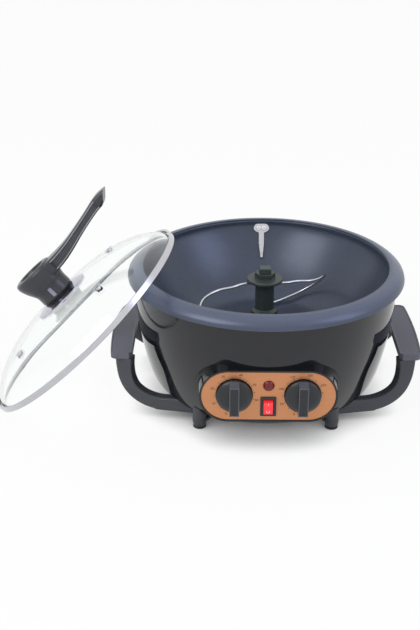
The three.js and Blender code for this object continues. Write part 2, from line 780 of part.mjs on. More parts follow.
const headTop = rivetHeight + baffleHeadRadius;
const headBottom = rivetHeight - baffleHeadRadius;
const headLean = Math.atan2(baffleBack(headTop) - baffleBack(headBottom), headTop - headBottom);
const headMiddle = (baffleBack(headTop) + baffleBack(headBottom)) / 2;

// Stands a piece drawn along Y square to the baffle's head, at one of its rivets.
function atRivet(geometry, place) {
  geometry.rotateX(-headLean);
  return placed(geometry, place, headMiddle, rivetHeight);
}

function rivetHoles() {
  return rivetPlaces.map((place) =>
    atRivet(rodAlongY(rivetRadius + gap, -overrun, overrun, smallFacets), place));
}

function makePan() {
  const bore = shaftRadius + bushWall + 2 * gap;
  const profile = [
    ...panTop,
    ...panUnder.slice(1).reverse(),
    point(bore, panFloor - panWall),
    point(bore, bossTop),
  ];
  return combine(revolve(profile, panFacets), [], rivetHoles());
}

// A steel strip: a head with two rivet holes against the wall, and a finger that follows the wall down.
function makeBaffle() {
  const tip = rimHeight - baffleDrop;
  const ringAt = (height, back, half) => [
    new THREE.Vector3(-half, back, height),
    new THREE.Vector3(half, back, height),
    new THREE.Vector3(half, back - baffleThickness, height),
    new THREE.Vector3(-half, back - baffleThickness, height),
  ];
  const head = headShares.map((rise) => {
    const corner = baffleHeadRadius * (1 - Math.sqrt(1 - rise * rise));
    const half = Math.max(baffleHeadWidth / 2 - corner, baffleNeckWidth / 2);
    return ringAt(rivetHeight + rise * baffleHeadRadius,
      headMiddle + rise * baffleHeadRadius * Math.tan(headLean), half);
  });
  const finger = fingerShares.map((down) => {
    const height = THREE.MathUtils.lerp(headBottom, tip, down);
    const half = THREE.MathUtils.lerp(baffleNeckWidth, baffleTipWidth, down) / 2;
    return ringAt(height, baffleBack(height) - down * baffleLean, half);
  });
  return combine(loft([...head, ...finger]), [], rivetHoles());
}

function makeRivet(place) {
  const tail = gap + panWall + rivetHeadHeight + baffleThickness;
  return atRivet(revolve([
    point(0, -baffleThickness - gap - rivetHeadHeight),
    point(rivetHeadRadius / 2, -baffleThickness - gap - rivetHeadHeight),
    point(rivetHeadRadius, -baffleThickness - gap),
    point(rivetRadius, -baffleThickness - gap),
    point(rivetRadius, tail),
    point(0, tail),
  ], smallFacets).rotateX(-Math.PI / 2), place);
}

// The drive, from the motor's bracket up to the stirrer's hub

function makeMotor() {
  const bottom = motorTop - motorHeight;
  const can = revolve([
    point(0, bottom),
    point(motorRadius - bracketThickness, bottom),
    point(motorRadius, bottom + bracketThickness),
    point(motorRadius, motorTop),
    point(0, motorTop),
  ], wideFacets);
  const ears = placed(
    block(motorEarWidth, motorEarLength, motorEarThickness), 0, 0, motorTop - motorEarThickness / 2);
  const socket = rod(spindleRadius + gap, motorTop - spindleSocket, motorTop + overrun, smallFacets);
  return combine(can, [ears], [socket]);
}

function makeMotorBracket() {
  const sheet = bracketThickness;
  const plate = placed(block(bracketLength, bracketWidth, sheet), 0, 0, motorTop + sheet / 2);
  const parts = [];
  for (const side of [-1, 1]) {
    const legHeight = bracketTop - coverThickness;
    const leg = block(sheet, bracketWidth, legHeight);
    parts.push(placed(leg, side * (bracketLength - sheet) / 2, 0, coverThickness + legHeight / 2));
    const foot = block(bracketFoot, bracketWidth, sheet);
    const middle = side * (bracketLength / 2 + bracketFoot / 2 - sheet);
    parts.push(placed(foot, middle, 0, coverThickness + sheet / 2));
  }
  const hole = rod(couplingRadius + couplingRoom, motorTop - overrun, bracketTop + overrun);
  return combine(plate, parts, [hole]);
}

function makeSpindle() {
  return rod(spindleRadius, motorTop - spindleSocket + gap, motorTop + spindleLength, smallFacets);
}

function makeCoupling() {
  const seam = motorTop + spindleLength + gap / 2;
  const [bottom, top] = [bracketTop + couplingStart, panFloor - panWall - couplingFloor];
  return revolve([
    point(spindleRadius + gap, bottom),
    point(couplingRadius, bottom),
    point(couplingRadius, top),
    point(shaftRadius + gap, top),
    point(shaftRadius + gap, seam),
    point(spindleRadius + gap, seam),
  ], middleFacets);
}

function makeShaft() {
  return rod(shaftRadius, motorTop + spindleLength + gap, shaftTop);
}

function makeBush() {
  const [inner, outer] = [shaftRadius + gap, shaftRadius + bushWall + gap];
  return revolve([
    point(inner, panFloor - panWall),
    point(outer, panFloor - panWall),
    point(outer, bossTop),
    point(panBossRadius - bushFlange, bossTop),
    point(panBossRadius - bushFlange, bossTop + bushFlange),
    point(inner, bossTop + bushFlange),
  ], middleFacets);
}

function makeHub() {
  const bore = shaftRadius + gap;
  const bellRoom = panBossRadius + hubBellGap;
  const ceiling = bossTop + bushFlange + hubBellGap;
  const discBottom = hubDiscHeight - hubDiscThickness;
  const body = revolve([
    point(bellRoom, ceiling - hubBellHeight),
    point(bellRoom + hubBellWall, ceiling - hubBellHeight),
    point(bellRoom + hubBellWall, ceiling),
    point(hubSleeveRadius, ceiling + hubBellWall),
    point(hubSleeveRadius, discBottom),
    point(hubDiscRadius, discBottom),
    point(hubDiscRadius, hubDiscHeight - hubDiscThickness / 4),
    point(hubDiscRadius - hubDiscThickness / 4, hubDiscHeight),
    point(0, hubDiscHeight),
    point(0, shaftTop + gap),
    point(bore, shaftTop + gap),
    point(bore, ceiling),
    point(bellRoom, ceiling),
  ], wideFacets);
  const hexRadius = hubHexWidth / 2 / Math.cos(Math.PI / hubHexSides);
  const hex = rod(hexRadius, hubDiscHeight - hubDiscThickness / 2, hexTop, hubHexSides);
  const boreReach = hubSleeveRadius + overrun;
  const wireBore = rod(wireRadius + 2 * gap, -boreReach, boreReach, smallFacets);
  wireBore.rotateY(Math.PI / 2);
  const pegHole = rod(hubPegRadius + gap, hexTop - hubPegLength - gap, hexTop + overrun, smallFacets);
  return combine(body, [hex], [placed(wireBore, 0, 0, wireHeight), pegHole]);
}

// A tapered square cap that a hand turns to free the stirrer, with its peg in the hub
function makeHubCap() {
  const cap = new THREE.CylinderGeometry(
    hubCapWidth * Math.SQRT1_2 * hubCapTaperShare, hubCapWidth * Math.SQRT1_2, hubCapHeight, hubCapSides);
  cap.rotateY(Math.PI / hubCapSides);
  cap.rotateX(Math.PI / 2);
  placed(cap, 0, 0, hexTop + hubCapHeight / 2);
  return combine(cap, [rod(hubPegRadius, hexTop - hubPegLength, hexTop + hubCapHeight / 2, smallFacets)], []);
}

// One wire through the hub: each end dips from the hub's height to sweep round the pan's floor.
function makeWire() {
  const floorAxis = panFloor + wireRadius + wireFloorGap;
  const arm = wireShares.map(([along, across, fall]) => new THREE.Vector3(
    along * wireReach, across * wireReach, THREE.MathUtils.lerp(wireHeight, floorAxis, fall)));
  arm.unshift(
    new THREE.Vector3(hubSleeveRadius / 2, 0, wireHeight),
    new THREE.Vector3(hubSleeveRadius + wireRadius, 0, wireHeight),
  );
  const other = arm.map((p) => new THREE.Vector3(-p.x, -p.y, p.z)).reverse();
  const curve = new THREE.CatmullRomCurve3([...other, ...arm], false, 'centripetal');
  return tube(curve, wireRadius, wireFacets, wireSteps);
}

// Heating

function makeHeater() {
  const height = heightAt(panUnder, heaterRadius - heaterTube) - gap - heaterTube;
  const places = [];
  const sweep = 2 * Math.PI - heaterOpening;
  for (let i = 0; i <= heaterBends; i += 1) {
    const angle = Math.PI / 2 + heaterOpening / 2 + (sweep * i) / heaterBends;
    places.push(new THREE.Vector3(heaterRadius * Math.cos(angle), heaterRadius * Math.sin(angle), height));
  }
  const [tailAcross, tailAlong] = heaterTailShares;
  const tailOf = (end) => new THREE.Vector3(end.x * tailAcross, end.y * tailAlong, height - heaterTail);
  const route = [tailOf(places[0]), ...places, tailOf(places[places.length - 1])];
  return tube(new THREE.CatmullRomCurve3(route, false, 'centripetal'), heaterTube, wireFacets, heaterSteps);
}

function makeShield() {
  const hole = couplingRadius + couplingRoom;
  const under = [
    point(hole, bracketTop), point(shieldFlatRadius, bracketTop),
    point(shieldRadius, bracketTop + shieldRise),
  ];
  return revolve([...under, ...offsetOutline(under, -shieldThickness).reverse()], wideFacets);
}

// Control panel. Fronted pieces are drawn with their face towards +Z and then stood up to face -Y.
function fronted(geometry, across, distance, height) {
  geometry.rotateX(Math.PI / 2);
  return placed(geometry, across, -distance, height);
}

function makePanelPlate() {
  const inset = collarLip + gap;
  const plate = stadiumBlock(collarHalfWidth - inset, collarHalfHeight - inset, plateFace, plateBack);
  const deep = plateThickness + 2 * overrun;
  const middle = (plateFace + plateBack) / 2;
  const holes = [-1, 1].map((side) => {
    const hole = rod(controlSpindleRadius + 2 * gap, -deep / 2, deep / 2, smallFacets);
    return fronted(hole, side * knobAcross, middle, knobHeight);
  });
  const lampHole = fronted(rod(lampStemRadius + gap, -deep / 2, deep / 2), 0, middle, lampHeight);
  const switchHole = fronted(
    block(switchBodyWidth + 2 * gap, switchBodyHeight + 2 * gap, deep), 0, middle, switchHeight);
  return combine(plate, [], [...holes, lampHole, switchHole]);
}

function makeKnob(side) {
  const base = revolve([
    point(0, 0),
    point(knobRadius - knobSkirt / 4, 0),
    point(knobRadius, knobSkirt / 4),
    point(knobRadius, knobSkirt),
    point(knobRadius - knobSkirt / 4, knobSkirt + knobSkirt / 4),
    point(knobRadius / 2, knobCrown),
    point(0, knobCrown),
  ], knobFacets);
  const half = knobRadius;
  const barOutline = new THREE.Shape([
    point(-half, knobSkirt / 2), point(half - knobBarSlope / 4, knobSkirt / 2),
    point(half - knobBarSlope / 4, knobSkirt), point(half - knobBarSlope, knobBarHeight),
    point(knobBarSlope / 4 - half, knobBarHeight), point(-half, knobBarHeight - knobBarSlope / 4),
  ]);
  const bevel = knobBarWidth / 8;
  const bar = new THREE.ExtrudeGeometry(barOutline, {
    depth: knobBarWidth - 2 * bevel, bevelSize: bevel / 2, bevelOffset: -bevel / 2, bevelThickness: bevel,
    bevelSegments: 1,
  });
  placed(bar, 0, 0, bevel - knobBarWidth / 2);
  bar.rotateX(Math.PI / 2);
  bar.rotateZ(Math.PI / 2);
  const socket = rod(controlSpindleRadius + gap, -overrun, controlSpindleReach + gap, smallFacets);
  const knob = combine(base, [bar], [socket]);
  return fronted(knob, side * knobAcross, plateFace + knobGap, knobHeight);
}

function makeControlSpindle(side) {
  const [from, to] = [gap - controlSocket - plateThickness, controlSpindleReach + knobGap];
  const spindle = rod(controlSpindleRadius, from, to, smallFacets);
  return fronted(spindle, side * knobAcross, plateFace, knobHeight);
}

function controlSocketHole() {
  return rod(controlSpindleRadius + gap, -controlSocket, overrun, smallFacets);
}

function makeTimer() {
  const front = placed(block(timerWidth, timerWidth, timerDepth / 2), 0, 0, -timerDepth / 4);
  const can = rod(timerWidth / 2 - bracketThickness, -timerDepth, -timerDepth / 4);
  return fronted(combine(front, [can], [controlSocketHole()]), -knobAcross, plateBack, knobHeight);
}

function makeThermostat() {
  const can = rod(thermostatRadius, -thermostatDepth, -bracketThickness);
  const flange = placed(
    block(2 * thermostatRadius, thermostatRadius, bracketThickness), 0, 0, -bracketThickness / 2);
  return fronted(combine(can, [flange], [controlSocketHole()]), knobAcross, plateBack, knobHeight);
}

function makeLampLens() {
  const lens = revolve([
    point(0, -plateThickness - lampDome),
    point(lampStemRadius, -plateThickness - lampDome),
    point(lampStemRadius, gap),
    ...lampShares.map(([radius, height]) => point(radius * lampRadius, height * lampDome + gap)),
  ], middleFacets);
  return fronted(lens, 0, plateFace, lampHeight);
}

function makeLampBody() {
  const body = rod(lampRadius + gap, -lampStemLength, 0);
  const room = rod(lampStemRadius + gap, -lampDome - 2 * gap, overrun);
  return fronted(combine(body, [], [room]), 0, plateBack, lampHeight);
}

const rockerTop = rockerPivotDepth + rockerRise;
const rockerSweep = Math.hypot(rockerHalfLength, rockerTop)
  * Math.cos(Math.atan2(rockerTop, rockerHalfLength) - degrees(rockerTilt));
const pivotDistance = plateFace + switchBezelThickness - rockerPivotDepth;

function makeSwitchBody() {
  const bezel = placed(
    block(switchBezelWidth, switchBezelHeight, switchBezelThickness), 0, 0, switchBezelThickness / 2);
  const body = placed(block(switchBodyWidth, switchBodyHeight, switchBodyDepth), 0, 0, -switchBodyDepth / 2);
  const depth = rockerPivotDepth + rockerBack + rockerRise;
  const mouth = placed(
    block(switchMouthWidth, 2 * (rockerSweep + gap), depth + overrun), 0, 0,
    switchBezelThickness - depth + (depth + overrun) / 2);
  return fronted(combine(bezel, [body], [mouth]), 0, plateFace, switchHeight);
}

function makeRocker() {
  const shape = new THREE.Shape([
    point(-rockerHalfLength, rockerTop), point(-rockerHalfLength, rockerBack / 2),
    point(-rockerHalfLength / 2, -rockerBack), point(rockerHalfLength / 2, -rockerBack),
    point(rockerHalfLength, rockerBack / 2), point(rockerHalfLength, rockerTop),
    point(rockerHalfLength / 2, rockerTop - rockerRise / 2),
    point(0, rockerTop - rockerDipShare * rockerRise),
    point(-rockerHalfLength / 2, rockerTop - rockerRise / 2),
  ]);
  const rocker = new THREE.ExtrudeGeometry(shape, { depth: rockerWidth, bevelEnabled: false });
  placed(rocker, 0, 0, -rockerWidth / 2);
  rocker.rotateX(Math.PI / 2);
  rocker.rotateZ(Math.PI / 2);
  rocker.rotateX(degrees(rockerTilt));
  return fronted(rocker, 0, pivotDistance, switchHeight);
}

// Pieces at the back

function makeTerminalBlock() {
  const middle = coverThickness + terminalHeight / 2;
  const body = placed(block(terminalLength, terminalWidth, terminalHeight), 0, terminalFromAxis, middle);
  const wells = [-1, 0, 1].map((place) => {
    const well = rod(terminalPitch / 4, middle, middle + terminalHeight, smallFacets);
    return placed(well, place * terminalPitch, terminalFromAxis, 0);
  });
  return combine(body, [], wells);
}

function makeGland() {
  const outside = glandBossReach + glandFlangeThickness;
  const flange = rodAlongY(glandFlangeRadius, glandBossReach, outside);
  const body = rodAlongY(glandRadius, outside - glandLength, glandBossReach + gap);
  const bore = rodAlongY(glandBore, outside - glandLength - overrun, outside + overrun, smallFacets);
  return placed(combine(flange, [body], [bore]), 0, 0, glandHeight);
}

function makeLimiter() {
  const top = panFloor - panWall;
  return placed(rod(limiterRadius, top - limiterHeight, top), limiterFromAxis, 0, 0);
}

// The lid, drawn about its own axis with the ring's underside at zero, and its handle pointing along +X

const glassRest = ringSheet + gap; // glass edge above the ring's underside
const glassFlat = point(lidRadius - glassEdgeInset, glassRest + lidGlass);
const glassDome = [
  point(lidScrewRadius + 2 * gap, lidRise),
  ...lidShares.map(([radius, height]) => point(radius * lidRadius, height * lidRise)),
  glassFlat,
];
const glassUnder = offsetOutline(glassDome.filter((p, i) => i % 2 === 0), lidGlass).slice(0, -1);

function makeLidGlass() {
  const edge = lidRadius - ringSheet - gap;
  return combine(revolve([
    ...glassDome,
    point(edge, glassFlat.y),
    point(edge, glassRest),
    point(glassFlat.x - lidGlass / 2, glassRest),
    ...glassUnder.slice().reverse(),
  ], lidFacets), [], [ventHole(ventAlongFirst), ventHole(ventAlongSecond)]);
}

function ventHole(along) {
  return placed(rod(ventRadius + gap, 0, 2 * lidRise, smallFacets), along, -ventAcross, 0);
}

// A rolled steel eyelet, upright in its hole, with its flange just clear of the sloping glass
function makeVent(along) {
  const radius = Math.hypot(along, ventAcross);
  const top = heightAt(glassDome, radius - ventFlange) + gap;
  const low = heightAt(glassDome, radius + ventRadius) - lidGlass;
  const eyelet = revolve([
    point(ventRadius / 2, low),
    point(ventRadius, low),
    point(ventRadius, top),
    point(ventFlange, top),
    point(ventFlange, top + ventFlangeThickness / 2),
    point(ventRadius, top + ventFlangeThickness),
    point(ventRadius / 2, top + ventFlangeThickness),
  ], smallFacets);
  return placed(eyelet, along, -ventAcross, 0);
}

// The steel band folded over the glass edge, above and below
function makeLidRing() {
  const inner = lidRadius - ringGrip;
  const web = lidRadius - ringSheet;
  const flatTop = ringSheet + lidGlass + 2 * gap;
  return revolve([
    point(inner, 0),
    point(lidRadius - ringSheet / 2, 0),
    point(lidRadius, ringSheet / 2),
    point(lidRadius, ringHeight),
    point(inner + ringSheet, flatTop + ringSheet),
    point(inner + ringSheet, flatTop),
    point(web, flatTop),
    point(web, ringSheet),
    point(inner, ringSheet),
  ], lidFacets);
}

const washerTop = heightAt(glassUnder, lidWasherRadius) - gap;
const flangeBottom = lidRise + gap;
const neckBottom = flangeBottom + handleFlangeHeight + gap;
const cupBottom = neckBottom + neckHeight + gap;
const screwHole = lidScrewRadius + gap;

function makeHandleFlange() {
  return revolve([
    point(screwHole, flangeBottom),
    point(handleFlangeRadius, flangeBottom),
    point(handleFlangeRadius, flangeBottom + handleFlangeEdge),
    point(handleFlangeTopRadius, flangeBottom + handleFlangeHeight),
    point(screwHole, flangeBottom + handleFlangeHeight),
  ], wideFacets);
}

function makeNeck() {
  return tubeWall(neckRadius, screwHole, neckBottom, neckBottom + neckHeight);
}

function makeHandle() {
  const cupRings = cupShares.map(([height, along, halfAlong, halfAcross]) => {
    const ring = [];
    for (let i = 0; i < cupFacets; i += 1) {
      const angle = (2 * Math.PI * i) / cupFacets;
      ring.push(new THREE.Vector3(
        cupHeight * (along + halfAlong * Math.cos(angle)),
        cupHeight * halfAcross * Math.sin(angle),
        cupBottom + height * cupHeight));
    }
    return ring;
  });
  const [, rimAlong, rimHalfAlong, rimHalfAcross] = cupShares[cupShares.length - 1];
  const wellRing = (height, shrink) => cupRings[0].map((unused, i) => {
    const angle = (2 * Math.PI * i) / cupFacets;
    return new THREE.Vector3(
      cupHeight * rimAlong + (cupHeight * rimHalfAlong - shrink) * Math.cos(angle),
      (cupHeight * rimHalfAcross - shrink) * Math.sin(angle),
      height);
  });
  const cupTop = cupBottom + cupHeight;
  const well = loft([
    wellRing(cupTop + overrun, cupWellWall / 2),
    ...cupWellShares.map(([deep, walls]) => wellRing(cupTop - deep * cupWellDepth, walls * cupWellWall)),
  ]);
  const across = new THREE.Vector3(0, 1, 0);
  const stations = bladeShares.map(([along, rise, halfHeight, halfWidth, lean]) => {
    const angle = (lean * Math.PI) / 2;
    const upright = new THREE.Vector3(-Math.sin(angle), 0, Math.cos(angle));
    return {
      centre: new THREE.Vector3(along * bladeReach, 0, cupBottom + rise * bladeReach),
      upright, halfHeight: halfHeight * bladeReach, halfWidth: halfWidth * bladeReach, along,
    };
  });
  const blade = loft(stations.map((s) =>
    roundedRing(s.centre, s.upright, across, s.halfHeight, s.halfWidth, bladeCorner, 2)));
  const stationAt = (along) => {
    const next = Math.max(1, stations.findIndex((s) => s.along >= along));
    const [a, b] = [stations[next - 1], stations[next]];
    const t = (along - a.along) / (b.along - a.along);
    return {
      centre: a.centre.clone().lerp(b.centre, t),
      upright: a.upright.clone().lerp(b.upright, t).normalize(),
      halfHeight: THREE.MathUtils.lerp(a.halfHeight, b.halfHeight, t),
      halfWidth: THREE.MathUtils.lerp(a.halfWidth, b.halfWidth, t),
    };
  };
  const sunk = [-1, 1].map((side) => loft(gripPanelShares.map(([along, share]) => {
    const s = stationAt(along);
    const face = s.centre.clone().addScaledVector(across, side * (s.halfWidth - gripPanelDepth + overrun));
    const reach = share * s.halfHeight;
    return roundedRing(face, s.upright, across, reach, overrun, reach / 4, 1);
  })));
  const insets = [-1, 1].map((side) => insetBlock(side, gap, 0, overrun));
  const bite = rod(screwHole, cupBottom - overrun, cupBottom + lidScrewBite + gap, smallFacets);
  return combine(loft(cupRings), [blade], [well, bite, ...sunk, ...insets]);
}

// The pale plate let into each side of the cup's collar, or with a margin the pocket that it sits in
function insetBlock(side, margin, lift, depth) {
  const face = side * (cupHeight * cupShares[0][3] - insetThickness + lift + depth / 2);
  const plate = block(insetWidth + 2 * margin, depth, insetHeight + 2 * margin);
  return placed(plate, insetAlong, face, cupBottom + insetRise + insetHeight / 2);
}

// The plate itself, curved as the collar is
function makeInset(side) {
  const [, along, , halfAcross] = cupShares[0];
  const collar = cupHeight * halfAcross;
  const beyond = tubeWall(collar + 2 * overrun, collar, cupBottom, cupBottom + cupHeight, wideFacets);
  placed(beyond, cupHeight * along, 0, 0);
  return combine(insetBlock(side, 0, gap, insetThickness), [], [beyond]);
}

function makeLidWasher() {
  return tubeWall(lidWasherRadius, screwHole, washerTop - lidWasherThickness, washerTop);
}

function makeLidScrew() {
  const seat = washerTop - lidWasherThickness - gap;
  return revolve([
    point(0, seat - lidScrewHeadHeight),
    point(lidScrewHeadRadius / 2, seat - lidScrewHeadHeight),
    point(lidScrewHeadRadius, seat - lidScrewHeadHeight / 2),
    point(lidScrewHeadRadius, seat),
    point(lidScrewRadius, seat),
    point(lidScrewRadius, cupBottom + lidScrewBite),
    point(0, cupBottom + lidScrewBite),
  ], smallFacets);
}

// Assembly

const roaster = new THREE.Group();
const lid = new THREE.Group();
roaster.add(lid);

function addPiece(group, name, geometry, material) {
  const welded = weld(geometry);
  welded.computeVertexNormals();
  const mesh = new THREE.Mesh(welded, material);
  mesh.name = name;
  group.add(mesh);
}

addPiece(roaster, 'outer_shell', makeOuterShell(), glossBlack);
addPiece(roaster, 'base_cover', makeBaseCover(), satinBlack);
footSides.forEach(([name, x, y]) => {
  addPiece(roaster, `foot_${name}`, makeFoot(x, y), satinBlack);
  addPiece(roaster, `foot_pad_${name}`, makeFootPad(x, y), rubber);
  addPiece(roaster, `foot_screw_${name}`, makeFootScrew(x, y), zincSteel);
  addPiece(roaster, `arm_${name}`, makeArm(x, y), satinBlack);
});
addPiece(roaster, 'grip_left', makeGrip(-1), gripGrey);
addPiece(roaster, 'grip_right', makeGrip(1), gripGrey);

addPiece(roaster, 'roasting_pan', makePan(), nonStick);
addPiece(roaster, 'bean_baffle', makeBaffle(), steel);
addPiece(roaster, 'baffle_rivet_left', makeRivet(rivetPlaces[0]), steel);
addPiece(roaster, 'baffle_rivet_right', makeRivet(rivetPlaces[1]), steel);

addPiece(roaster, 'gear_motor', makeMotor(), zincSteel);
addPiece(roaster, 'motor_bracket', makeMotorBracket(), zincSteel);
addPiece(roaster, 'shaft_bush', makeBush(), brass);
addPiece(roaster, 'motor_spindle', makeSpindle(), steel);
addPiece(roaster, 'shaft_coupling', makeCoupling(), zincSteel);
addPiece(roaster, 'drive_shaft', makeShaft(), steel);
addPiece(roaster, 'stirrer_hub', makeHub(), hubGreen);
addPiece(roaster, 'hub_cap', makeHubCap(), hubGreen);
addPiece(roaster, 'stirrer_wire', makeWire(), steel);

addPiece(roaster, 'heating_ring', makeHeater(), zincSteel);
addPiece(roaster, 'heat_shield', makeShield(), aluminium);
addPiece(roaster, 'heat_limiter', makeLimiter(), whiteResin);

addPiece(roaster, 'panel_plate', makePanelPlate(), copperPlate);
addPiece(roaster, 'timer_knob', makeKnob(-1), knobBlack);
addPiece(roaster, 'timer_spindle', makeControlSpindle(-1), zincSteel);
addPiece(roaster, 'timer_body', makeTimer(), whiteResin);
addPiece(roaster, 'temperature_knob', makeKnob(1), knobBlack);
addPiece(roaster, 'thermostat_spindle', makeControlSpindle(1), zincSteel);
addPiece(roaster, 'thermostat_body', makeThermostat(), whiteResin);
addPiece(roaster, 'lamp_lens', makeLampLens(), lampRed);
addPiece(roaster, 'lamp_body', makeLampBody(), whiteResin);
addPiece(roaster, 'switch_body', makeSwitchBody(), knobBlack);
addPiece(roaster, 'switch_rocker', makeRocker(), rockerRed);
addPiece(roaster, 'terminal_block', makeTerminalBlock(), whiteResin);
addPiece(roaster, 'cord_gland', makeGland(), rubber);

addPiece(lid, 'lid_glass', makeLidGlass(), glass);
addPiece(lid, 'lid_ring', makeLidRing(), steel);
addPiece(lid, 'lid_vent_upper', makeVent(ventAlongFirst), steel);
addPiece(lid, 'lid_vent_lower', makeVent(ventAlongSecond), steel);
addPiece(lid, 'handle_flange', makeHandleFlange(), steel);
addPiece(lid, 'handle_neck', makeNeck(), knobBlack);
addPiece(lid, 'lid_handle', makeHandle(), satinBlack);
addPiece(lid, 'handle_inset_front', makeInset(-1), paleGrey);
addPiece(lid, 'handle_inset_back', makeInset(1), paleGrey);
addPiece(lid, 'handle_screw', makeLidScrew(), steel);
addPiece(lid, 'handle_washer', makeLidWasher(), whiteResin);

// The lid stands on the counter on its ring's lowest point and leans on the pan's rim. Its directions at
// a lean from level: up along the lid, across it, and out of its top.
function lidAxes(lean) {
  const top = new THREE.Vector3(0, 0, 1).applyAxisAngle(new THREE.Vector3(0, 1, 0), lean);
  top.applyAxisAngle(new THREE.Vector3(0, 0, 1), degrees(lidTurn));
  const up = new THREE.Vector3(0, 0, 1).addScaledVector(top, -top.z).normalize();
  return [up, new THREE.Vector3().crossVectors(top, up), top];
}

function lidCentre(lean) {
  const [up] = lidAxes(lean);
  const foot = new THREE.Vector3(-bowlTopRadius - lidFootLeft, -lidFootFront, -standHeight);
  return foot.addScaledVector(up, lidRadius);
}

// How far the underside of the lid's ring is from the pan's rim at a lean, negative where it would cut it.
function rimClearance(lean) {
  const rimRoom = offsetOutline(rimCurve, -gap);
  const edge = rimRoom[rimRoom.length - 1];
  const [up, across] = lidAxes(lean);
  const inner = (lidRadius - ringGrip) * Math.cos(Math.PI / lidFacets);
  const clearances = [];
  for (let i = 0; i < leanPlaces; i += 1) {
    const angle = (2 * Math.PI * i) / leanPlaces;
    [inner, lidRadius].forEach((radius) => {
      const place = lidCentre(lean)
        .addScaledVector(up, radius * Math.cos(angle))
        .addScaledVector(across, radius * Math.sin(angle));
      if (place.z < rimRoom[0].y) {
        const limit = place.z > edge.y ? radiusAt(rimRoom, place.z) : edge.x;
        clearances.push(Math.hypot(place.x, place.y) - limit);
      }
    });
  }
  return Math.min(...clearances);
}

let [flatter, steeper] = [0, Math.PI / 2];
for (let i = 0; i < leanSteps; i += 1) {
  const middle = (flatter + steeper) / 2;
  if (rimClearance(middle) < 0) {
    flatter = middle;
  } else {
    steeper = middle;
  }
}
lid.quaternion.setFromRotationMatrix(new THREE.Matrix4().makeBasis(...lidAxes(steeper)));
lid.position.copy(lidCentre(steeper));

export default roaster;
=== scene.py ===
"""The looks of a home coffee bean roaster: smooth surfaces and finishes over its solid parts."""
import json
from math import acos, atan2, cos, degrees, pi, radians, sin, sqrt

import bmesh
import bpy
from mathutils import Euler, Matrix, Vector
from mathutils.geometry import interpolate_bezier


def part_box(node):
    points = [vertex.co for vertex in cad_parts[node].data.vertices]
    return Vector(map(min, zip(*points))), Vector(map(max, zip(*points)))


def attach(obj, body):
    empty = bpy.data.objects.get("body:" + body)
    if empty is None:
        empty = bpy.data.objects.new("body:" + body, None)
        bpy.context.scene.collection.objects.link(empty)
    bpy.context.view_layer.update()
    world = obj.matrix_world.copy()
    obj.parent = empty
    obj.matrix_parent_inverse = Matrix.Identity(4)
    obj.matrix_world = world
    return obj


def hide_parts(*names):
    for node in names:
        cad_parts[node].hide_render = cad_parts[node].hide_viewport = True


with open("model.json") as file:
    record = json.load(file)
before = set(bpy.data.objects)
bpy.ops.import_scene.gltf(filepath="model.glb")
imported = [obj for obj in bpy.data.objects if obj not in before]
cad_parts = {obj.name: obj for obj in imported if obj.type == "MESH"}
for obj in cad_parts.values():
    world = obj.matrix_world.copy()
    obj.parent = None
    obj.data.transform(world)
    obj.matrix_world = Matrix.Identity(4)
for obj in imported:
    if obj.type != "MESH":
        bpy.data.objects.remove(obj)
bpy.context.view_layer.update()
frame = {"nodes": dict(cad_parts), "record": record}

# Units and fineness
MM = 0.001
WELD = 0.001  # mm, corners closer than this are one
ROUND = 96  # facets of the large round pieces
SMALL_ROUND = 48  # facets of the small ones
HALF_ROUND = 24  # steps of a half circle in an outline
CORNER_STEPS = 8  # steps of its rounded corners
STRETCH = 4  # points to each stretch of a smooth profile
BEND_STEPS = 6  # the same for bent arms and wire
BLADE_STEPS = 4  # the same for the handle's blade
CUP_STEPS = 3  # the same for its cup
ARM_FACETS, BLADE_FACETS, SUNK_FACETS, LINE_FACETS, FILLET_FACETS = 4, 5, 3, 2, 6  # of rounded corners
EDGE_FACETS = 3  # of a rounded edge
DOME_STEP = 9  # degrees, between the corners of the lamp's dome
SHARP = 32  # degrees, corners above this stay crisp or get a rounded edge
GAP = 0.3  # between pieces that touch
PAST = 5  # how far a cutter passes what it cuts
PRINT = 0.06  # thickness of printed marks
HAIR = 0.02  # between the panel and the thin rings on it
ACROSS = Vector((0, 1, 0))  # the lid's direction across its handle

# The photograph's view, fitted to the rim, panel, feet and lid
IMAGE_HEIGHT = 630
FOCAL_PIXELS = 1053.6
CAMERA_PLACE = (-45.3, -1021.2, 550.2)
CAMERA_YAW = 0.7123
CAMERA_PITCH = -25.3298
SENSOR_HEIGHT = 24

# Stand, shell and base
STAND = 16
BOWL_TOP = 138
BOWL_WALL = 2.4
SHELL_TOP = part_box("outer_shell")[1][2] / MM
BOWL_SHARES = ((0.816, 0), (0.832, 0.012), (0.862, 0.055), (0.898, 0.15), (0.94, 0.34), (0.97, 0.54),
               (0.989, 0.75), (1, 1))
COVER_EDGE = 111
COVER_TOP = 2.9
LEDGE_RADIUS = 89
LEDGE_TOP = 5.3
GLAND_HEIGHT = 22
GLAND_BOSS = (11.5, 131)  # radius, and the distance of its flat face from the axis
GLAND = (7, 3.8, 16)  # radius, bore and length
GLAND_FLANGE = (9.5, 3.5, 1, 0.8)  # radius, thickness, and the slopes of its edge and of the bore's mouth

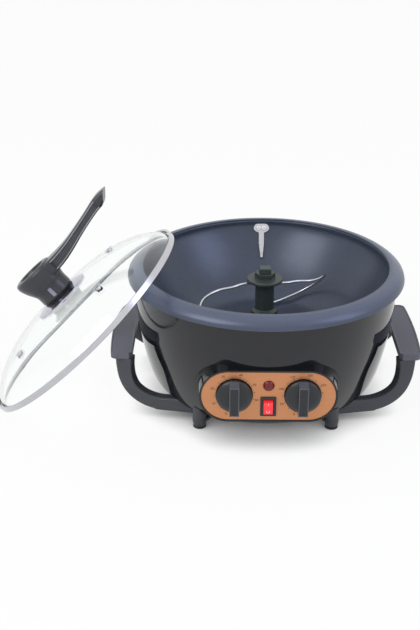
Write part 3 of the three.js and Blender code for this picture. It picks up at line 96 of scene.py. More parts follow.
# Pan and baffle
RIM_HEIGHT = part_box("roasting_pan")[1][2] / MM
RIM_CREST = 129.8
RIM_WIDTH = 15
RIM_DROP = 11
ROLL_HIGHLIGHT_SPAN = (-2, 3, 8, 14)  # past the crest, where the painted highlight on the rim's roll starts, is full, fades and is thin
RIM_BEAD = ((-1.5, -2.6), (-0.9, -1.6), (-1.5, -1.3), (-1.4, -0.4), (-0.8, 0))  # from the crest
PAN_FLOOR = 55.4
PAN_DEPTH = RIM_HEIGHT - PAN_FLOOR
PAN_WALL = 2.4
PAN_SHARES = ((0.34, 1), (0.52, 0.97), (0.66, 0.84), (0.785, 0.635), (0.875, 0.44), (0.945, 0.26),
              (0.985, 0.11))
RIM_SHARES = ((0, 0), (0.25, 0.03), (0.6, 0.24), (0.9, 0.62), (1, 1))
BOSS_RADIUS = 11.5
BOSS_HEIGHT = 16
BOSS_FILLET = 4
BOSS_BORE = 7.6
BAFFLE_SHEET = 1
BAFFLE_HEAD = (5.1, 17.8, 10.3)  # radius, width, and the crest's height above its centre
BAFFLE_FINGER = (5.8, 2.2, 38)  # width at the neck and the tip, and the tip's drop from the crest
BAFFLE_LEAN = 3
BAFFLE_RIDGE = (11, 0.45, 1.8)  # sections, and shares of the finger's width and of the sheet's thickness
HEAD_STEPS = 26
HEAD_TAPER = 1.2  # how soon the head narrows to the neck
FINGER_STEPS = (12, 5)  # all, and those before the finger narrows
RIVET_SPACING = 6.3
RIVET_HEAD = (2.6, 1)  # radius and rise
RIVET_SHARES = ((0.32, 0.7), (0.45, 1), (0.8, 1), (1, 0.6), (1, 0))
RIVET_SHANK = (0.6, 3.5)  # share of the head's radius, and length

# Stirrer
HUB_BELL = (12.4, 14.2, 60.3, 74.3)  # inner and outer radius, lowest and highest point
HUB_SLEEVE = 10
HUB_SLOPE = 1.8  # from the bell's edge to the sleeve
HUB_DISC = (19, 107.8, 111, 0.8)  # radius, underside, top face and the slope of its edge
HUB_HEX = (10.97, 117)  # corner radius and top face
HUB_BORE = (4.3, 101.6)
CAP_HALVES = ((6.4, 117), (6.3, 117.9), (5.76, 122.6))
WIRE_RADIUS = 1.4
WIRE_HEIGHT = 104.4
WIRE_LOW = 58.4
WIRE_REACH = 86
WIRE_CORNERS = 12  # facets round it
WIRE_START = (5, 11.4)
WIRE_SHARES = ((0.28, 0.03, 0.01), (0.4, 0.1, 0.03), (0.56, 0.15, 0.06), (0.68, 0.25, 0.09),
               (0.77, 0.42, 0.13), (0.79, 0.58, 0.28), (0.71, 0.7, 0.54), (0.52, 0.74, 0.8),
               (0.28, 0.67, 0.96), (0.08, 0.55, 1))

# Panel and controls
PANEL_FRONT = 138
PANEL_HEIGHT = 45.4
COLLAR_HALF = (66.9, 28)
COLLAR_FLARE = 5
COLLAR_DEPTH = 30
COLLAR_LIP = 1.7
PLATE_FACE = 137.3
PLATE_THICKNESS = 1.5
KNOB_ACROSS = 33
KNOB_HEIGHT = 46.8
KNOB_RADIUS = 17.2
KNOB_SKIRT = 3.6
KNOB_CROWN = 7
KNOB_SHOULDER = 0.75  # where its slope ends, as a share of its radius
KNOB_BAR = (9.4, 12.4, 3)  # width, height and end slope
BAR_EDGE = (0.8, 0.25, 0.2)  # width and height of the raised strip round the bar that carries a painted highlight, and its lap over the slope
POINTER_LINE = (0.9, 10, 0.5, 7)  # width, length, depth, and its middle from the bar's end
KNOB_GAP = 0.6
KNOB_SHADOW_RING = (4, 18.1, 0.4, 0.2)  # a black ring round the knob's foot, a painted shadow of the gap under the knob: inner and outer radius, thickness and the slope of its edge
SPINDLE_HOLE = (3.6, 3.3, 9.3)  # radius in the plate and in the knob, and depth in the knob
DIAL_START = 250  # degrees, where the dials' first mark stands
DIAL_STEP = 22  # degrees to the next mark
DIAL_TICK = (18.7, 20.1, 0.4)  # inner and outer radius, and width
DIAL_NUMBERS = (22.4, 2.5)  # radius and letter height
LETTER_SIZE = 1.4  # of the font, for capitals one high
LAMP_HEIGHT = 57.4
LAMP_RADIUS = 5.3
LAMP_DOME = 3.2
LAMP_STEM = (4.2, 4.7)  # radius and length behind the plate's face
LAMP_RING = (5.6, 6, 0.5, 0.4)  # inner and outer radius, thickness and the slope of its edge
SWITCH_HEIGHT = 34.5
BEZEL = (15.4, 20.6, 1.6)
SWITCH_BODY = (12.6, 18.6, 18)
SWITCH_MOUTH = (10, 15.2, 10.1)
ROCKER_HALF = 7.2
ROCKER_WIDTH = 9.2
ROCKER_PIVOT = 133.9
ROCKER_TILT = 10
ROCKER_TOP = 6.6
ROCKER_BACK = 3.5
ROCKER_DISH = (0.8, 1.1)  # how deep its face dips at the quarters and in the middle
ROCKER_MARK = (4.4, 5.98, 12.5, 3.4)  # place along, height, the face's slope in degrees, and letter height

# Handles and feet
GRIP_INNER = 137.5
GRIP_WIDTH = 22.5
GRIP_BULGE = 2.2
BULGE_STEPS = (-0.75, -0.5, -0.25, 0, 0.25, 0.5, 0.75)
GRIP_BORDER = (1.6, 0.4, 0.5)  # width of its flat border, and the step inside it: width and drop
GRIP_LENGTH = 122
GRIP_THICKNESS = 7
GRIP_TOP = 52
GRIP_CORNER = 6.5
FOOT_PLACE = (67.5, 91.5)
FOOT_RADIUS = 7
FOOT_TOP = 9
FOOT_PAD = 3
FOOT_EDGE = (0.6, 0.4, 0.3)  # how far in its underside and its edge are, and the edge's rise
FOOT_FLANGE = (7.2, 6.5, 3)  # radius round the foot and round the screw, and thickness
LUG_PLACE = (56.99, 77.25)
LUG = (6, 8.5, 6)  # radius at the arm and at the screw, and thickness
ARM_ACROSS = 145
ARM_ALONG = 54
ARM_LOW = 0.65
ARM_WIDTHS = (18.4, 14.5)
ARM_DEPTH = 12
ARM_CORNER = 2.4
ARM_INTO_BOWL = 9  # how far its inner end runs on before the bowl cuts it off
ARM_SHARES = ((1, 1, 1), (1, 0.98, 0.775), (0.977, 0.87, 0.504), (0.909, 0.657, 0.278),
              (0.784, 0.485, 0.098), (0.602, 0.313, 0), (0.35, 0.14, 0))
SIDES = (("front_left", -1, -1), ("front_right", 1, -1), ("rear_left", -1, 1), ("rear_right", 1, 1))

# Lid
LID_FOOT = (-279.4, -18.6)  # where its ring stands on the counter
LID_TILT = 43.277
LID_TURN = 176.6
LID_RADIUS = 127.3
LID_RISE = 37
LID_GLASS = 3.6
LID_REST = 1.1  # glass edge above the ring's underside
LID_FLAT = 3.9  # ring's outside to where the glass leaves its flat edge
LID_HOLE = 3.1
LID_SHARES = ((0.24, 0.995), (0.46, 0.955), (0.62, 0.855), (0.76, 0.69), (0.86, 0.51), (0.92, 0.35),
              (0.953, 0.22))
RING_HEIGHT = 7
RING_SHEET = 0.8
RING_GRIP = 3.2
RING_EDGES = (0.4, 0.5, 0.2)  # slope at the foot, and run and drop at the top
VENT = (3, 5, 0.8)  # radius, flange radius and flange thickness
VENTS = (("upper", 62, -60, ["lid_vent_upper"]), ("lower", -50, -60, ["lid_vent_lower"]),
         ("rear", 59.3, 37.1, []))
FLANGE = ((2.8, 37.3), (32, 37.3), (32, 38.2), (18.8, 42.1), (2.8, 42.1))
NECK = ((2.8, 42.4), (18.4, 42.4), (18.4, 43.6), (2.8, 43.6))
CUP_BOTTOM = 43.9
CUP_HEIGHT = 33.3
CUP_SHARES = ((0, 0, 0.575, 0.565), (0.27, 0, 0.575, 0.565), (0.405, -0.02, 0.62, 0.59),
              (0.585, -0.04, 0.7, 0.61), (0.826, -0.09, 0.73, 0.61), (0.95, -0.1, 0.7, 0.58),
              (1, -0.1, 0.61, 0.51))
CUP_WELL = ((2, 5), (5.2, -3.5), (8, -7))  # how far inside the rim, at heights from the rim
BLADE_REACH = 113.4
BLADE_CORNER = 4
BLADE_ROUNDEST = 0.9  # most of a half size that a corner may take
BLADE_SHARES = ((0.017, 0.208, 0.066, 0.123, 0.02), (0.159, 0.214, 0.065, 0.123, 0.03),
                (0.282, 0.222, 0.062, 0.115, 0.06), (0.421, 0.244, 0.055, 0.106, 0.11),
                (0.588, 0.284, 0.047, 0.1, 0.15), (0.74, 0.32, 0.045, 0.097, 0.15),
                (0.882, 0.352, 0.049, 0.095, 0.13), (1, 0.366, 0.058, 0.07, -0.48))
SUNK_SHARES = (0.22, 0.92, 0.6)  # where the blade's side panels start and end, and their height
SUNK_DEPTH = 1.4
RIBS = (-0.45, -0.15, 0.15, 0.45)  # fine ribs on the side panels, as shares of the blade's half height
RIB_SIZE = (0.35, 0.55)  # half sizes
BORDER_LINES = (-0.66, 0.66)  # the bolder lines beside the side panels
LINE_SIZE = (0.5, 0.4)
LINE_SUNK = 0.3
LINE_CORNER = 0.2
INSET_POCKET = (6, 7.6, 10.6, 1, 1.6)  # the pale plate's: place along, width, height, rise and depth

# Grain of the finishes
CLOUD = (30, 0.35)  # size of the soft cloud in each, and its weight beside the fine grain
NOISE_RANGE = (0.3, 0.7)  # where most of a noise's values lie
ROLL_HIGHLIGHT_WEIGHTS = (0.85, 0.3)  # of the painted highlight on the rim's roll where it is full, and what is left of it where thin
COAT_CLOUD = 45
SPRAY = (0.9, 0.06, 0.6)  # the coat's grain: size, relief and the relief's strength
COAT_GLOSS = (0.25, 0.36)
FLECKS = (1.6, 0.16, 0.05, 0.5)  # size of their cells, where in one they start and are full, and weight

# Studio
FLOOR_REACH = 6  # metres
SEEN_WHITE = 0.9  # share of plain white where the floor is seen, over its own shaded paint
CONTACT = (45, 0.05, 0.72)  # the contact shadow's reach, and where openness is darkest and where white
CONTACT_END = (170, 230)  # distances from the axis at which the contact shadow fades out
WORLD_LIGHT = 0.7
SOFTBOXES = (("softbox_left", (-1.2, -0.9, 1.5), (1.2, 1.2), 14, "ffffff"),
             ("softbox_right", (1.3, -0.5, 1.1), (0.8, 1.2), 6, "d4deff"))  # place, size, watts and tint


# Curves and sections, in millimetres

def curve_run(places, steps):
    """Points on a smooth curve through the places, with a few steps to each stretch."""
    knots = [Vector(p) for p in places]
    ends = [knots[0] * 2 - knots[1], *knots, knots[-1] * 2 - knots[-2]]
    run = []
    for before, start, end, after in zip(ends, ends[1:], ends[2:], ends[3:]):
        a, b, c = ((q - p).length for p, q in ((before, start), (start, end), (end, after)))
        out = (end * a - before * b + start * (2 * a + 3 * sqrt(a * b) + b)) / (3 * (a + sqrt(a * b)))
        into = (start * c - after * b + end * (2 * c + 3 * sqrt(c * b) + b)) / (3 * (c + sqrt(c * b)))
        run += interpolate_bezier(start, out, into, end, steps + 1)[:-1]
    return [*run, knots[-1]]


def heading(run, i):
    """The direction of a run of points at one of them."""
    return (run[min(i + 1, len(run) - 1)] - run[max(i - 1, 0)]).normalized()


def profile_run(places, steps=STRETCH):
    """A smooth profile of radius and height through the places."""
    return [(p.x, p.y) for p in curve_run([(radius, height, 0) for radius, height in places], steps)]


def offset_run(outline, distance):
    """An open outline moved sideways, to the right of its run where the distance is positive."""
    moved_run = []
    for i, place in enumerate(outline):
        back, on = max(i - 1, 0), min(i, len(outline) - 2)
        first = (Vector(outline[back + 1]) - Vector(outline[back])).normalized()
        second = (Vector(outline[on + 1]) - Vector(outline[on])).normalized()
        side = Vector((first.y + second.y, -first.x - second.x)) * (distance / (1 + first.dot(second)))
        moved_run.append((place[0] + side.x, place[1] + side.y))
    return moved_run


def arc_run(centre, radius, start, end, steps):
    """Points of an arc about a centre, between two angles in degrees."""
    turns = [radians(start + (end - start) * i / steps) for i in range(steps + 1)]
    return [(centre[0] + radius * cos(a), centre[1] + radius * sin(a)) for a in turns]


def link_run(first, first_radius, second, second_radius):
    """Outline of a bar with two round ends."""
    way = Vector(second) - Vector(first)
    lean = degrees(atan2(way.y, way.x))
    spread = degrees(acos((first_radius - second_radius) / way.length))
    return (arc_run(first, first_radius, lean + spread, lean - spread + 360, HALF_ROUND)
            + arc_run(second, second_radius, lean - spread, lean + spread, HALF_ROUND))


def between(start, end, share):
    return start + (end - start) * share


def read_off(run, place):
    """The second value of a run of pairs where its first value passes a place."""
    for (x1, y1), (x2, y2) in zip(run, run[1:]):
        if (x1 - place) * (x2 - place) <= 0 and x1 != x2:
            return between(y1, y2, (place - x1) / (x2 - x1))
    return run[-1][1]


# Solids, in millimetres

def lathe(profile, steps=ROUND):
    """Turns a profile of radius and height round the Z axis."""
    bm = bmesh.new()
    verts = [bm.verts.new((radius, 0, height)) for radius, height in profile]
    pairs = list(zip(verts, verts[1:]))
    if profile[0][0] > 0 or profile[-1][0] > 0:
        pairs.append((verts[-1], verts[0]))
    edges = [bm.edges.new(pair) for pair in pairs]
    bmesh.ops.spin(bm, geom=verts + edges, cent=(0, 0, 0), axis=(0, 0, 1), angle=2 * pi, steps=steps,
                   use_merge=True)
    return tidied(bm)


def rod(radius, low, high, steps=SMALL_ROUND):
    return lathe([(0, low), (radius, low), (radius, high), (0, high)], steps)


def tidied(bm):
    bmesh.ops.remove_doubles(bm, verts=bm.verts, dist=WELD)
    bmesh.ops.recalc_face_normals(bm, faces=bm.faces)
    return bm


def plate(outline, low, high):
    """A flat outline of X and Y raised between two heights."""
    bm = bmesh.new()
    face = bm.faces.new([bm.verts.new((x, y, low)) for x, y in outline])
    raised = bmesh.ops.extrude_face_region(bm, geom=[face], use_keep_orig=True)["geom"]
    verts = [item for item in raised if isinstance(item, bmesh.types.BMVert)]
    bmesh.ops.translate(bm, vec=(0, 0, high - low), verts=verts)
    return tidied(bm)


def block(size, centre):
    bm = bmesh.new()
    bmesh.ops.create_cube(bm, size=1)
    bmesh.ops.scale(bm, vec=size, verts=bm.verts)
    bmesh.ops.translate(bm, vec=centre, verts=bm.verts)
    return bm


def loft(rings):
    """Skins a run of rings with as many corners each, and closes both ends."""
    bm = bmesh.new()
    face = bm.faces.new([bm.verts.new(p) for p in rings[0]])
    for ring in rings[1:]:
        face = bmesh.ops.extrude_discrete_faces(bm, faces=[face])["faces"][0]
        for vert, place in zip(face.verts, ring):
            vert.co = place
    bmesh.ops.holes_fill(bm, edges=bm.edges)
    return tidied(bm)


def rounded_ring(centre, first, second, half_first, half_second, corner, steps):
    """Corners of a rounded rectangle round a centre, with half sizes along two directions."""
    ring = []
    for quarter, (a, b) in enumerate(((1, 1), (-1, 1), (-1, -1), (1, -1))):
        for i in range(steps + 1):
            angle = pi / 2 * (quarter + i / steps)
            p = a * (half_first - corner) + corner * cos(angle)
            q = b * (half_second - corner) + corner * sin(angle)
            ring.append(Vector(centre) + Vector(first) * p + Vector(second) * q)
    return ring


def moved(bm, matrix):
    bmesh.ops.transform(bm, matrix=matrix, verts=bm.verts)
    return bm


def shift(x, y, z):
    return Matrix.Translation((x, y, z))


def turn(angle, axis):
    return Matrix.Rotation(angle, 4, axis)


def at(bm, x, y):
    return moved(bm, shift(x, y, 0))


def joined(*parts):
    """One mesh with every part as a shell of its own."""
    bm = parts[0]
    for part in parts[1:]:
        mesh = bpy.data.meshes.new("part")
        part.to_mesh(mesh)
        part.free()
        bm.from_mesh(mesh)
        bpy.data.meshes.remove(mesh)
    return bm


def as_object(bm, name):
    mesh = bpy.data.meshes.new(name)
    bm.to_mesh(mesh)
    bm.free()
    obj = bpy.data.objects.new(name, mesh)
    bpy.context.collection.objects.link(obj)
    return obj


def taken(obj):
    """The mesh of an object with its modifiers, as a bmesh, and the object is removed."""
    shown = obj.evaluated_get(bpy.context.evaluated_depsgraph_get())
    result = bpy.data.meshes.new_from_object(shown)
    bm = bmesh.new()
    bm.from_mesh(result)
    bpy.data.meshes.remove(result)
    bpy.data.objects.remove(obj)
    return bm


def combined(operation, base, *tools):
    """Joins solids into one skin, or cuts the later ones from the first."""
    for tool in tools:
        first, second = as_object(base, "solid"), as_object(tool, "tool")
        change = first.modifiers.new("combine", "BOOLEAN")
        change.operation = operation
        change.solver = "EXACT"
        change.object = second
        base = taken(first)
        bpy.data.objects.remove(second)
    return base


def cut(base, *tools):
    return combined("DIFFERENCE", base, *tools)


def fused(base, *tools):
    return combined("UNION", base, *tools)


TO_BACK = shift(0, 0, GLAND_HEIGHT) @ turn(-pi / 2, "X")  # points a rod to the back, through the cord gland
SIDE_ON = turn(pi / 2, "Z") @ turn(pi / 2, "X")  # stands a side view on the panel, with its width across


def on_panel(across, height, out=0):
    """Stands a solid drawn with its face towards +Z up, to face -Y at a place on the panel."""
    return shift(across, -PLATE_FACE - out, height) @ turn(pi / 2, "X")


def piece(name, bm, slot, replaced=(), body="housing", edge=0, matrix=None, finish=None,
          highlight_finish=None):
    """Makes a mesh object in metres, gives it its slot's finish or its own, and hangs it on its body."""
    if matrix:
        moved(bm, matrix)
    bmesh.ops.scale(bm, vec=(MM, MM, MM), verts=bm.verts)
    obj = as_object(bm, name)
    obj.data.shade_smooth()
    obj.data.set_sharp_from_angle(angle=radians(SHARP))
    obj.data.materials.clear()
    obj.data.materials.append(finish or FINISHES[slot])
    if edge:
        rounding = obj.modifiers.new("rounded edges", "BEVEL")
        rounding.width = edge * MM
        rounding.segments = EDGE_FACETS
        rounding.limit_method = "ANGLE"
        rounding.angle_limit = radians(SHARP)
        rounding.harden_normals = True
        # The rounded edges may take a painted highlight finish of their own.
        if highlight_finish:
            obj.data.materials.append(highlight_finish)
            rounding.material = 1
    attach(obj, body)
    if replaced:
        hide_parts(*replaced)
    return obj


# Finishes

def colour(hex_code):
    """The linear colour of an sRGB hex value."""
    parts = [int(hex_code[i:i + 2], 16) / 255 for i in (0, 2, 4)]
    return (*(p / 12.92 if p <= 0.04045 else ((p + 0.055) / 1.055) ** 2.4 for p in parts), 1)


def per_metre(millimetres):
    """The scale at which a pattern's features measure so many millimetres."""
    return 1 / (millimetres * MM)


def add(tree, kind, inputs=(), **settings):
    """Adds a node with its settings, and its inputs as values or as the outputs of other nodes."""
    new = tree.nodes.new("ShaderNode" + kind)
    for name, value in settings.items():
        setattr(new, name, value)
    for socket, value in dict(inputs).items():
        if isinstance(value, bpy.types.NodeSocket):
            tree.links.new(value, new.inputs[socket])
        else:
            new.inputs[socket].default_value = value
    return new


def maths(tree, operation, *terms, clamp=False):
    return add(tree, "Math", enumerate(terms), operation=operation, use_clamp=clamp).outputs[0]


def ramp(tree, source, low, high, start=0, end=1):
    """A value that runs from start to end while its source runs from low to high."""
    return add(tree, "MapRange", {"Value": source, "From Min": low, "From Max": high,
                                  "To Min": start, "To Max": end}).outputs["Result"]


def noise(tree, place, size, detail):
    return add(tree, "TexNoise", {"Vector": place, "Scale": per_metre(size),
                                  "Detail": detail}).outputs["Fac"]


def blend(tree, first, second, share):
    """A colour between two."""
    return add(tree, "Mix", {"A": first, "B": second, "Factor": share},
               data_type="RGBA").outputs["Result"]


def reach_of(tree, place):
    return add(tree, "VectorMath", {0: place}, operation="LENGTH").outputs["Value"]


def started(name, **values):
    """A new material, its node tree and its shader with the given values."""
    made = bpy.data.materials.new(name)
    made.use_nodes = True
    shader = made.node_tree.nodes["Principled BSDF"]
    for socket, value in values.items():
        shader.inputs[socket.replace("_", " ")].default_value = value
    return made, made.node_tree, shader


def wired(tree, shader, tint, gloss, grain, strength, relief):
    """Leads a finish's colour, gloss and relief to its shader."""
    bump = add(tree, "Bump", {"Height": grain, "Strength": strength, "Distance": relief * MM})
    for socket, source in (("Base Color", tint), ("Roughness", gloss), ("Normal", bump.outputs["Normal"])):
        tree.links.new(source, shader.inputs[socket])


def given_way(tree, shader, other, share):
    """Shows another shader in place of the material's own, by a share."""
    mixed = add(tree, "MixShader", {0: share, 1: shader.outputs["BSDF"], 2: other.outputs[0]})
    tree.links.new(mixed.outputs["Shader"], tree.nodes["Material Output"].inputs["Surface"])


def textured(name, dark, light, roughness, grain, relief, spread=0.06, stretch=(1, 1, 1), **values):
    """A finish whose colour, gloss and relief follow one fine grain, with the grain's size in mm."""
    made, tree, shader = started(name, **values)
    place = add(tree, "TexCoord").outputs["Object"]
    mapped = add(tree, "Mapping", {"Vector": place, "Scale": stretch}).outputs["Vector"]
    fine = noise(tree, mapped, grain, 3)
    size, weight = CLOUD
    both = maths(tree, "MULTIPLY_ADD", noise(tree, place, size, 2), weight, fine)
    shade = ramp(tree, both, weight, 1)
    gloss = ramp(tree, fine, *NOISE_RANGE, roughness - spread, roughness + spread)
    wired(tree, shader, blend(tree, colour(dark), colour(light), shade), gloss, fine, 1, relief)
    return made


def non_stick():
    """Non-stick coating sprayed on cast aluminium: matte slate, with pale flecks where its mica shows."""
    made, tree, shader = started("sprayed_non_stick", Metallic=0.35)
    place = add(tree, "TexCoord").outputs["Object"]
    cell, outer, inner, weight = FLECKS
    size, relief, strength = SPRAY
    fleck = add(tree, "TexVoronoi", {"Vector": place, "Scale": per_metre(cell)}, feature="F1")
    spray = noise(tree, place, size, 4)
    wall = blend(tree, colour("3a404f"), colour("475062"), noise(tree, place, COAT_CLOUD, 2))
    # A painted highlight lies pale on the top of the rolled rim, and fades towards its lower edge.
    across = add(tree, "VectorMath", {0: place, 1: (1, 1, 0)}, operation="MULTIPLY")
    reach = reach_of(tree, across.outputs["Vector"])
    rise, full, fade, edge = ((RIM_CREST + past) * MM for past in ROLL_HIGHLIGHT_SPAN)
    strongest, least = ROLL_HIGHLIGHT_WEIGHTS
    roll = maths(tree, "MULTIPLY", ramp(tree, reach, rise, full, 0, strongest),
                 ramp(tree, reach, fade, edge, 1, least))
    coat_and_highlight = blend(tree, wall, colour("5c6379"), roll)
    near = ramp(tree, fleck.outputs["Distance"], outer, inner, 0, weight)
    flecked = blend(tree, coat_and_highlight, colour("868d9d"), near)
    wired(tree, shader, flecked, ramp(tree, spray, *NOISE_RANGE, *COAT_GLOSS), spray, strength, relief)
    return made


def clear_glass():
    """Tempered soda-lime glass: clear with a faint cold tint, and light passes it to what is behind."""
    made, tree, shader = started("tempered_glass", Base_Color=colour("fcfffe"), Roughness=0.0, IOR=1.45,
                                 Transmission_Weight=1.0)
    through = add(tree, "BsdfTransparent", {"Color": colour("f8fcfb")})
    given_way(tree, shader, through, add(tree, "LightPath").outputs["Is Shadow Ray"])
    return made


# Each slot's finish, named for the material and how its surface was made
FINISHES = {
    # Injection-moulded ABS, polished in the mould: nearly black and mirror-like
    "gloss_black": textured("gloss_black_abs", "121317", "191a1f", 0.06, 6, 0.003, spread=0.02),
    # Compression-moulded phenolic: dark grey and satin, with the faint cloud of its filler
    "satin_black": textured("satin_phenolic", "34353b", "404148", 0.46, 0.8, 0.03),
    # Glass-filled plastic with a fine spark-eroded texture: matte grey-violet
    "grip_grey": textured("matte_grip_plastic", "51515d", "5f5f6c", 0.48, 0.7, 0.03),
    # ABS with a satin mould face: near black; on the knobs its rounded edges carry a painted highlight
    "knob_black": textured("satin_black_abs", "17191e", "212429", 0.3, 0.8, 0.015),
    "non_stick": non_stick(),
    # Copper foil brushed along the panel: warm and half bright, with fine lines left to right
    "copper_plate": textured("brushed_copper_foil", "c4835a", "d09265", 0.36, 0.5, 0.006,
                             stretch=(0.02, 1, 1), Metallic=0.5),
    # Brushed and rolled stainless steel: bright, with a soft blur
    "steel": textured("brushed_stainless", "b2b2b7", "d3d3d8", 0.2, 0.6, 0.004, spread=0.04, Metallic=1.0),
    # Zinc plate on pressed steel: dull grey with a soft spangle
    "zinc_steel": textured("zinc_plated_steel", "8e9092", "a9abad", 0.42, 3, 0.01, Metallic=1.0),
    # Rolled aluminium as it leaves the mill: pale, with streaks along the roll
    "aluminium": textured("mill_aluminium", "a8aaad", "c2c4c7", 0.38, 1.2, 0.01, stretch=(0.1, 1, 1),
                          Metallic=1.0),
    # Turned brass: yellow, with the fine lines of the tool
    "brass": textured("turned_brass", "a68c4c", "c3a968", 0.32, 0.8, 0.01, Metallic=1.0),
    # Moulded rubber: black and dull
    "rubber": textured("moulded_rubber", "18181a", "222224", 0.8, 0.9, 0.04),
    # Glass-filled resin: matte grey-green, a little chalky
    "hub_green": textured("matte_hub_resin", "2b3432", "39433f", 0.46, 0.8, 0.03),
    # Satin plastic with a lilac tint: pale and even
    "pale_grey": textured("satin_lilac_plastic", "85849a", "9796aa", 0.35, 0.9, 0.01),
    # Electrical resin: warm white and slightly rough
    "white_resin": textured("white_electrical_resin", "dcd6c8", "eae5da", 0.6, 1.2, 0.02),
    # Cast silicone: milky, and light goes a little way in
    "silicone": textured("clear_silicone", "d2d2cc", "e2e2de", 0.45, 1.5, 0.02, Subsurface_Weight=0.4),
    # Tinted lens plastic over an unlit lamp: deep red and glossy
    "lamp_red": textured("dark_red_lens", "5d0d14", "8a1620", 0.1, 1.4, 0.04, spread=0.03,
                         Transmission_Weight=0.2),
    # Tinted switch plastic, lit from inside: bright red
    "rocker_red": textured("lit_red_rocker", "e02430", "f03c44", 0.22, 1.2, 0.01, Emission_Strength=0.35,
                           Emission_Color=colour("ff2a30")),
    "glass": clear_glass()}
# Phenolic polished in the mould, on the lid's handle: dark and glossy, while its ribs, lines and rounded
# edges carry painted highlights
POLISHED_PHENOLIC = textured("polished_phenolic", "2b2c31", "37383e", 0.24, 0.8, 0.012, spread=0.04)
# Polished stainless steel: a mirror with a faint violet cast
POLISHED_STEEL = textured("polished_stainless", "aeadbc", "c6c5d2", 0.1, 4, 0.002, spread=0.03,
                          Metallic=1.0)
# Painted highlight on rounded edges and ribs: lighter than the faces beside them, where light would catch
PAINTED_EDGE_HIGHLIGHT = textured("abs_edge_painted_highlight", "4e5058", "60626a", 0.2, 0.8, 0.01)
# The handle's raised lines, polished in the mould until they glint
# A painted highlight on the handle's raised lines: pale grey where light would glint along them
HANDLE_LINE_HIGHLIGHT = textured("phenolic_line_painted_highlight", "8c8d93", "a2a3a9", 0.2, 0.8, 0.01)
# Tumbled steel rivets: nearly white and soft
RIVET_STEEL = textured("tumbled_rivet_steel", "e6e6ea", "f4f4f6", 0.35, 0.8, 0.004, Metallic=0.6)
# Screen-printed ink: flat dark brown, and pale on the switch
INK = textured("dark_print_ink", "33241c", "44342a", 0.6, 0.5, 0.005)
PALE_INK = textured("pale_print_ink", "f6d0cc", "ffe4e0", 0.5, 0.5, 0.005)


# The body

def bowl_outside():
    return profile_run([(radius * BOWL_TOP, height * SHELL_TOP) for radius, height in BOWL_SHARES])


def bowl_room():
    return lathe([(0, 0), *offset_run(bowl_outside(), GAP), (0, SHELL_TOP)])


def stadium_loft(*sections):
    """A solid through stadiums in front of the axis: half sizes and distance for each."""
    rings = []
    for width, height, distance in sections:
        reach = width - height
        outline = (arc_run((reach, 0), height, -90, 90, HALF_ROUND)
                   + arc_run((-reach, 0), height, 90, 270, HALF_ROUND))
        rings.append([Vector((x, -distance, PANEL_HEIGHT + z)) for x, z in outline])
    return loft(rings)


def make_shell():
    outside = bowl_outside()
    inside = offset_run(outside, -BOWL_WALL)
    ledge = read_off([(height, radius) for radius, height in inside], LEDGE_TOP)
    wall = [(COVER_EDGE, 0), *outside, *[p for p in inside if p[1] > LEDGE_TOP][::-1], (ledge, LEDGE_TOP),
            (LEDGE_RADIUS, LEDGE_TOP), (LEDGE_RADIUS, COVER_TOP), (COVER_EDGE, COVER_TOP)]
    low = LEDGE_TOP / 2
    hollow = lathe([(0, low), *[p for p in inside if p[1] > low], (0, inside[-1][1])])
    width, height = COLLAR_HALF
    back = PANEL_FRONT - COLLAR_DEPTH
    boss_radius, boss_face = GLAND_BOSS
    collar = stadium_loft((width + COLLAR_FLARE, height + COLLAR_FLARE, back), (width, height, PANEL_FRONT))
    collar = cut(fused(collar, moved(rod(boss_radius, back, boss_face), TO_BACK)), hollow)
    width, height = width - COLLAR_LIP, height - COLLAR_LIP
    recess = stadium_loft((width, height, PLATE_FACE - PLATE_THICKNESS),
                          (width, height, PANEL_FRONT + COLLAR_LIP))
    bore = moved(rod(GLAND[0] + GAP, back, boss_face + PAST), TO_BACK)
    shell = cut(fused(lathe(wall), collar), recess, bore)
    piece("shell_moulding", shell, "gloss_black", ["outer_shell"], edge=0.7)


def make_gland():
    radius, bore, length = GLAND
    flange, thickness, chamfer, mouth = GLAND_FLANGE
    face = GLAND_BOSS[1]
    outside = face + thickness
    gland = lathe([(bore, outside - length), (radius, outside - length), (radius, face), (flange, face),
                   (flange, outside - chamfer), (flange - chamfer, outside), (bore + mouth, outside),
                   (bore, outside - mouth)])
    piece("gland_moulding", gland, "rubber", ["cord_gland"], edge=0.3, matrix=TO_BACK)


def pan_inside():
    inside = [(radius * RIM_CREST, RIM_HEIGHT - depth * PAN_DEPTH) for radius, depth in PAN_SHARES]
    bead = [(RIM_CREST + run, RIM_HEIGHT + rise) for run, rise in RIM_BEAD]
    return profile_run([*inside, bead[0]]) + bead[1:]


def make_pan():
    rim = profile_run([(RIM_CREST + run * RIM_WIDTH, RIM_HEIGHT - fall * RIM_DROP)
                       for run, fall in RIM_SHARES])
    inside = pan_inside()
    top, fillet = PAN_FLOOR + BOSS_HEIGHT, BOSS_FILLET
    boss = [(BOSS_BORE, top), (BOSS_RADIUS, top),
            *arc_run((BOSS_RADIUS + fillet, PAN_FLOOR + fillet), fillet, 180, 270, FILLET_FACETS)]
    under = offset_run([*inside[:-len(RIM_BEAD)], rim[0], *rim[STRETCH:]], PAN_WALL)[::-1]
    pan = lathe([*boss, *inside, *rim, *under, (BOSS_BORE, PAN_FLOOR - PAN_WALL)])
    piece("pan_casting", pan, "non_stick", ["roasting_pan"], edge=0.3)


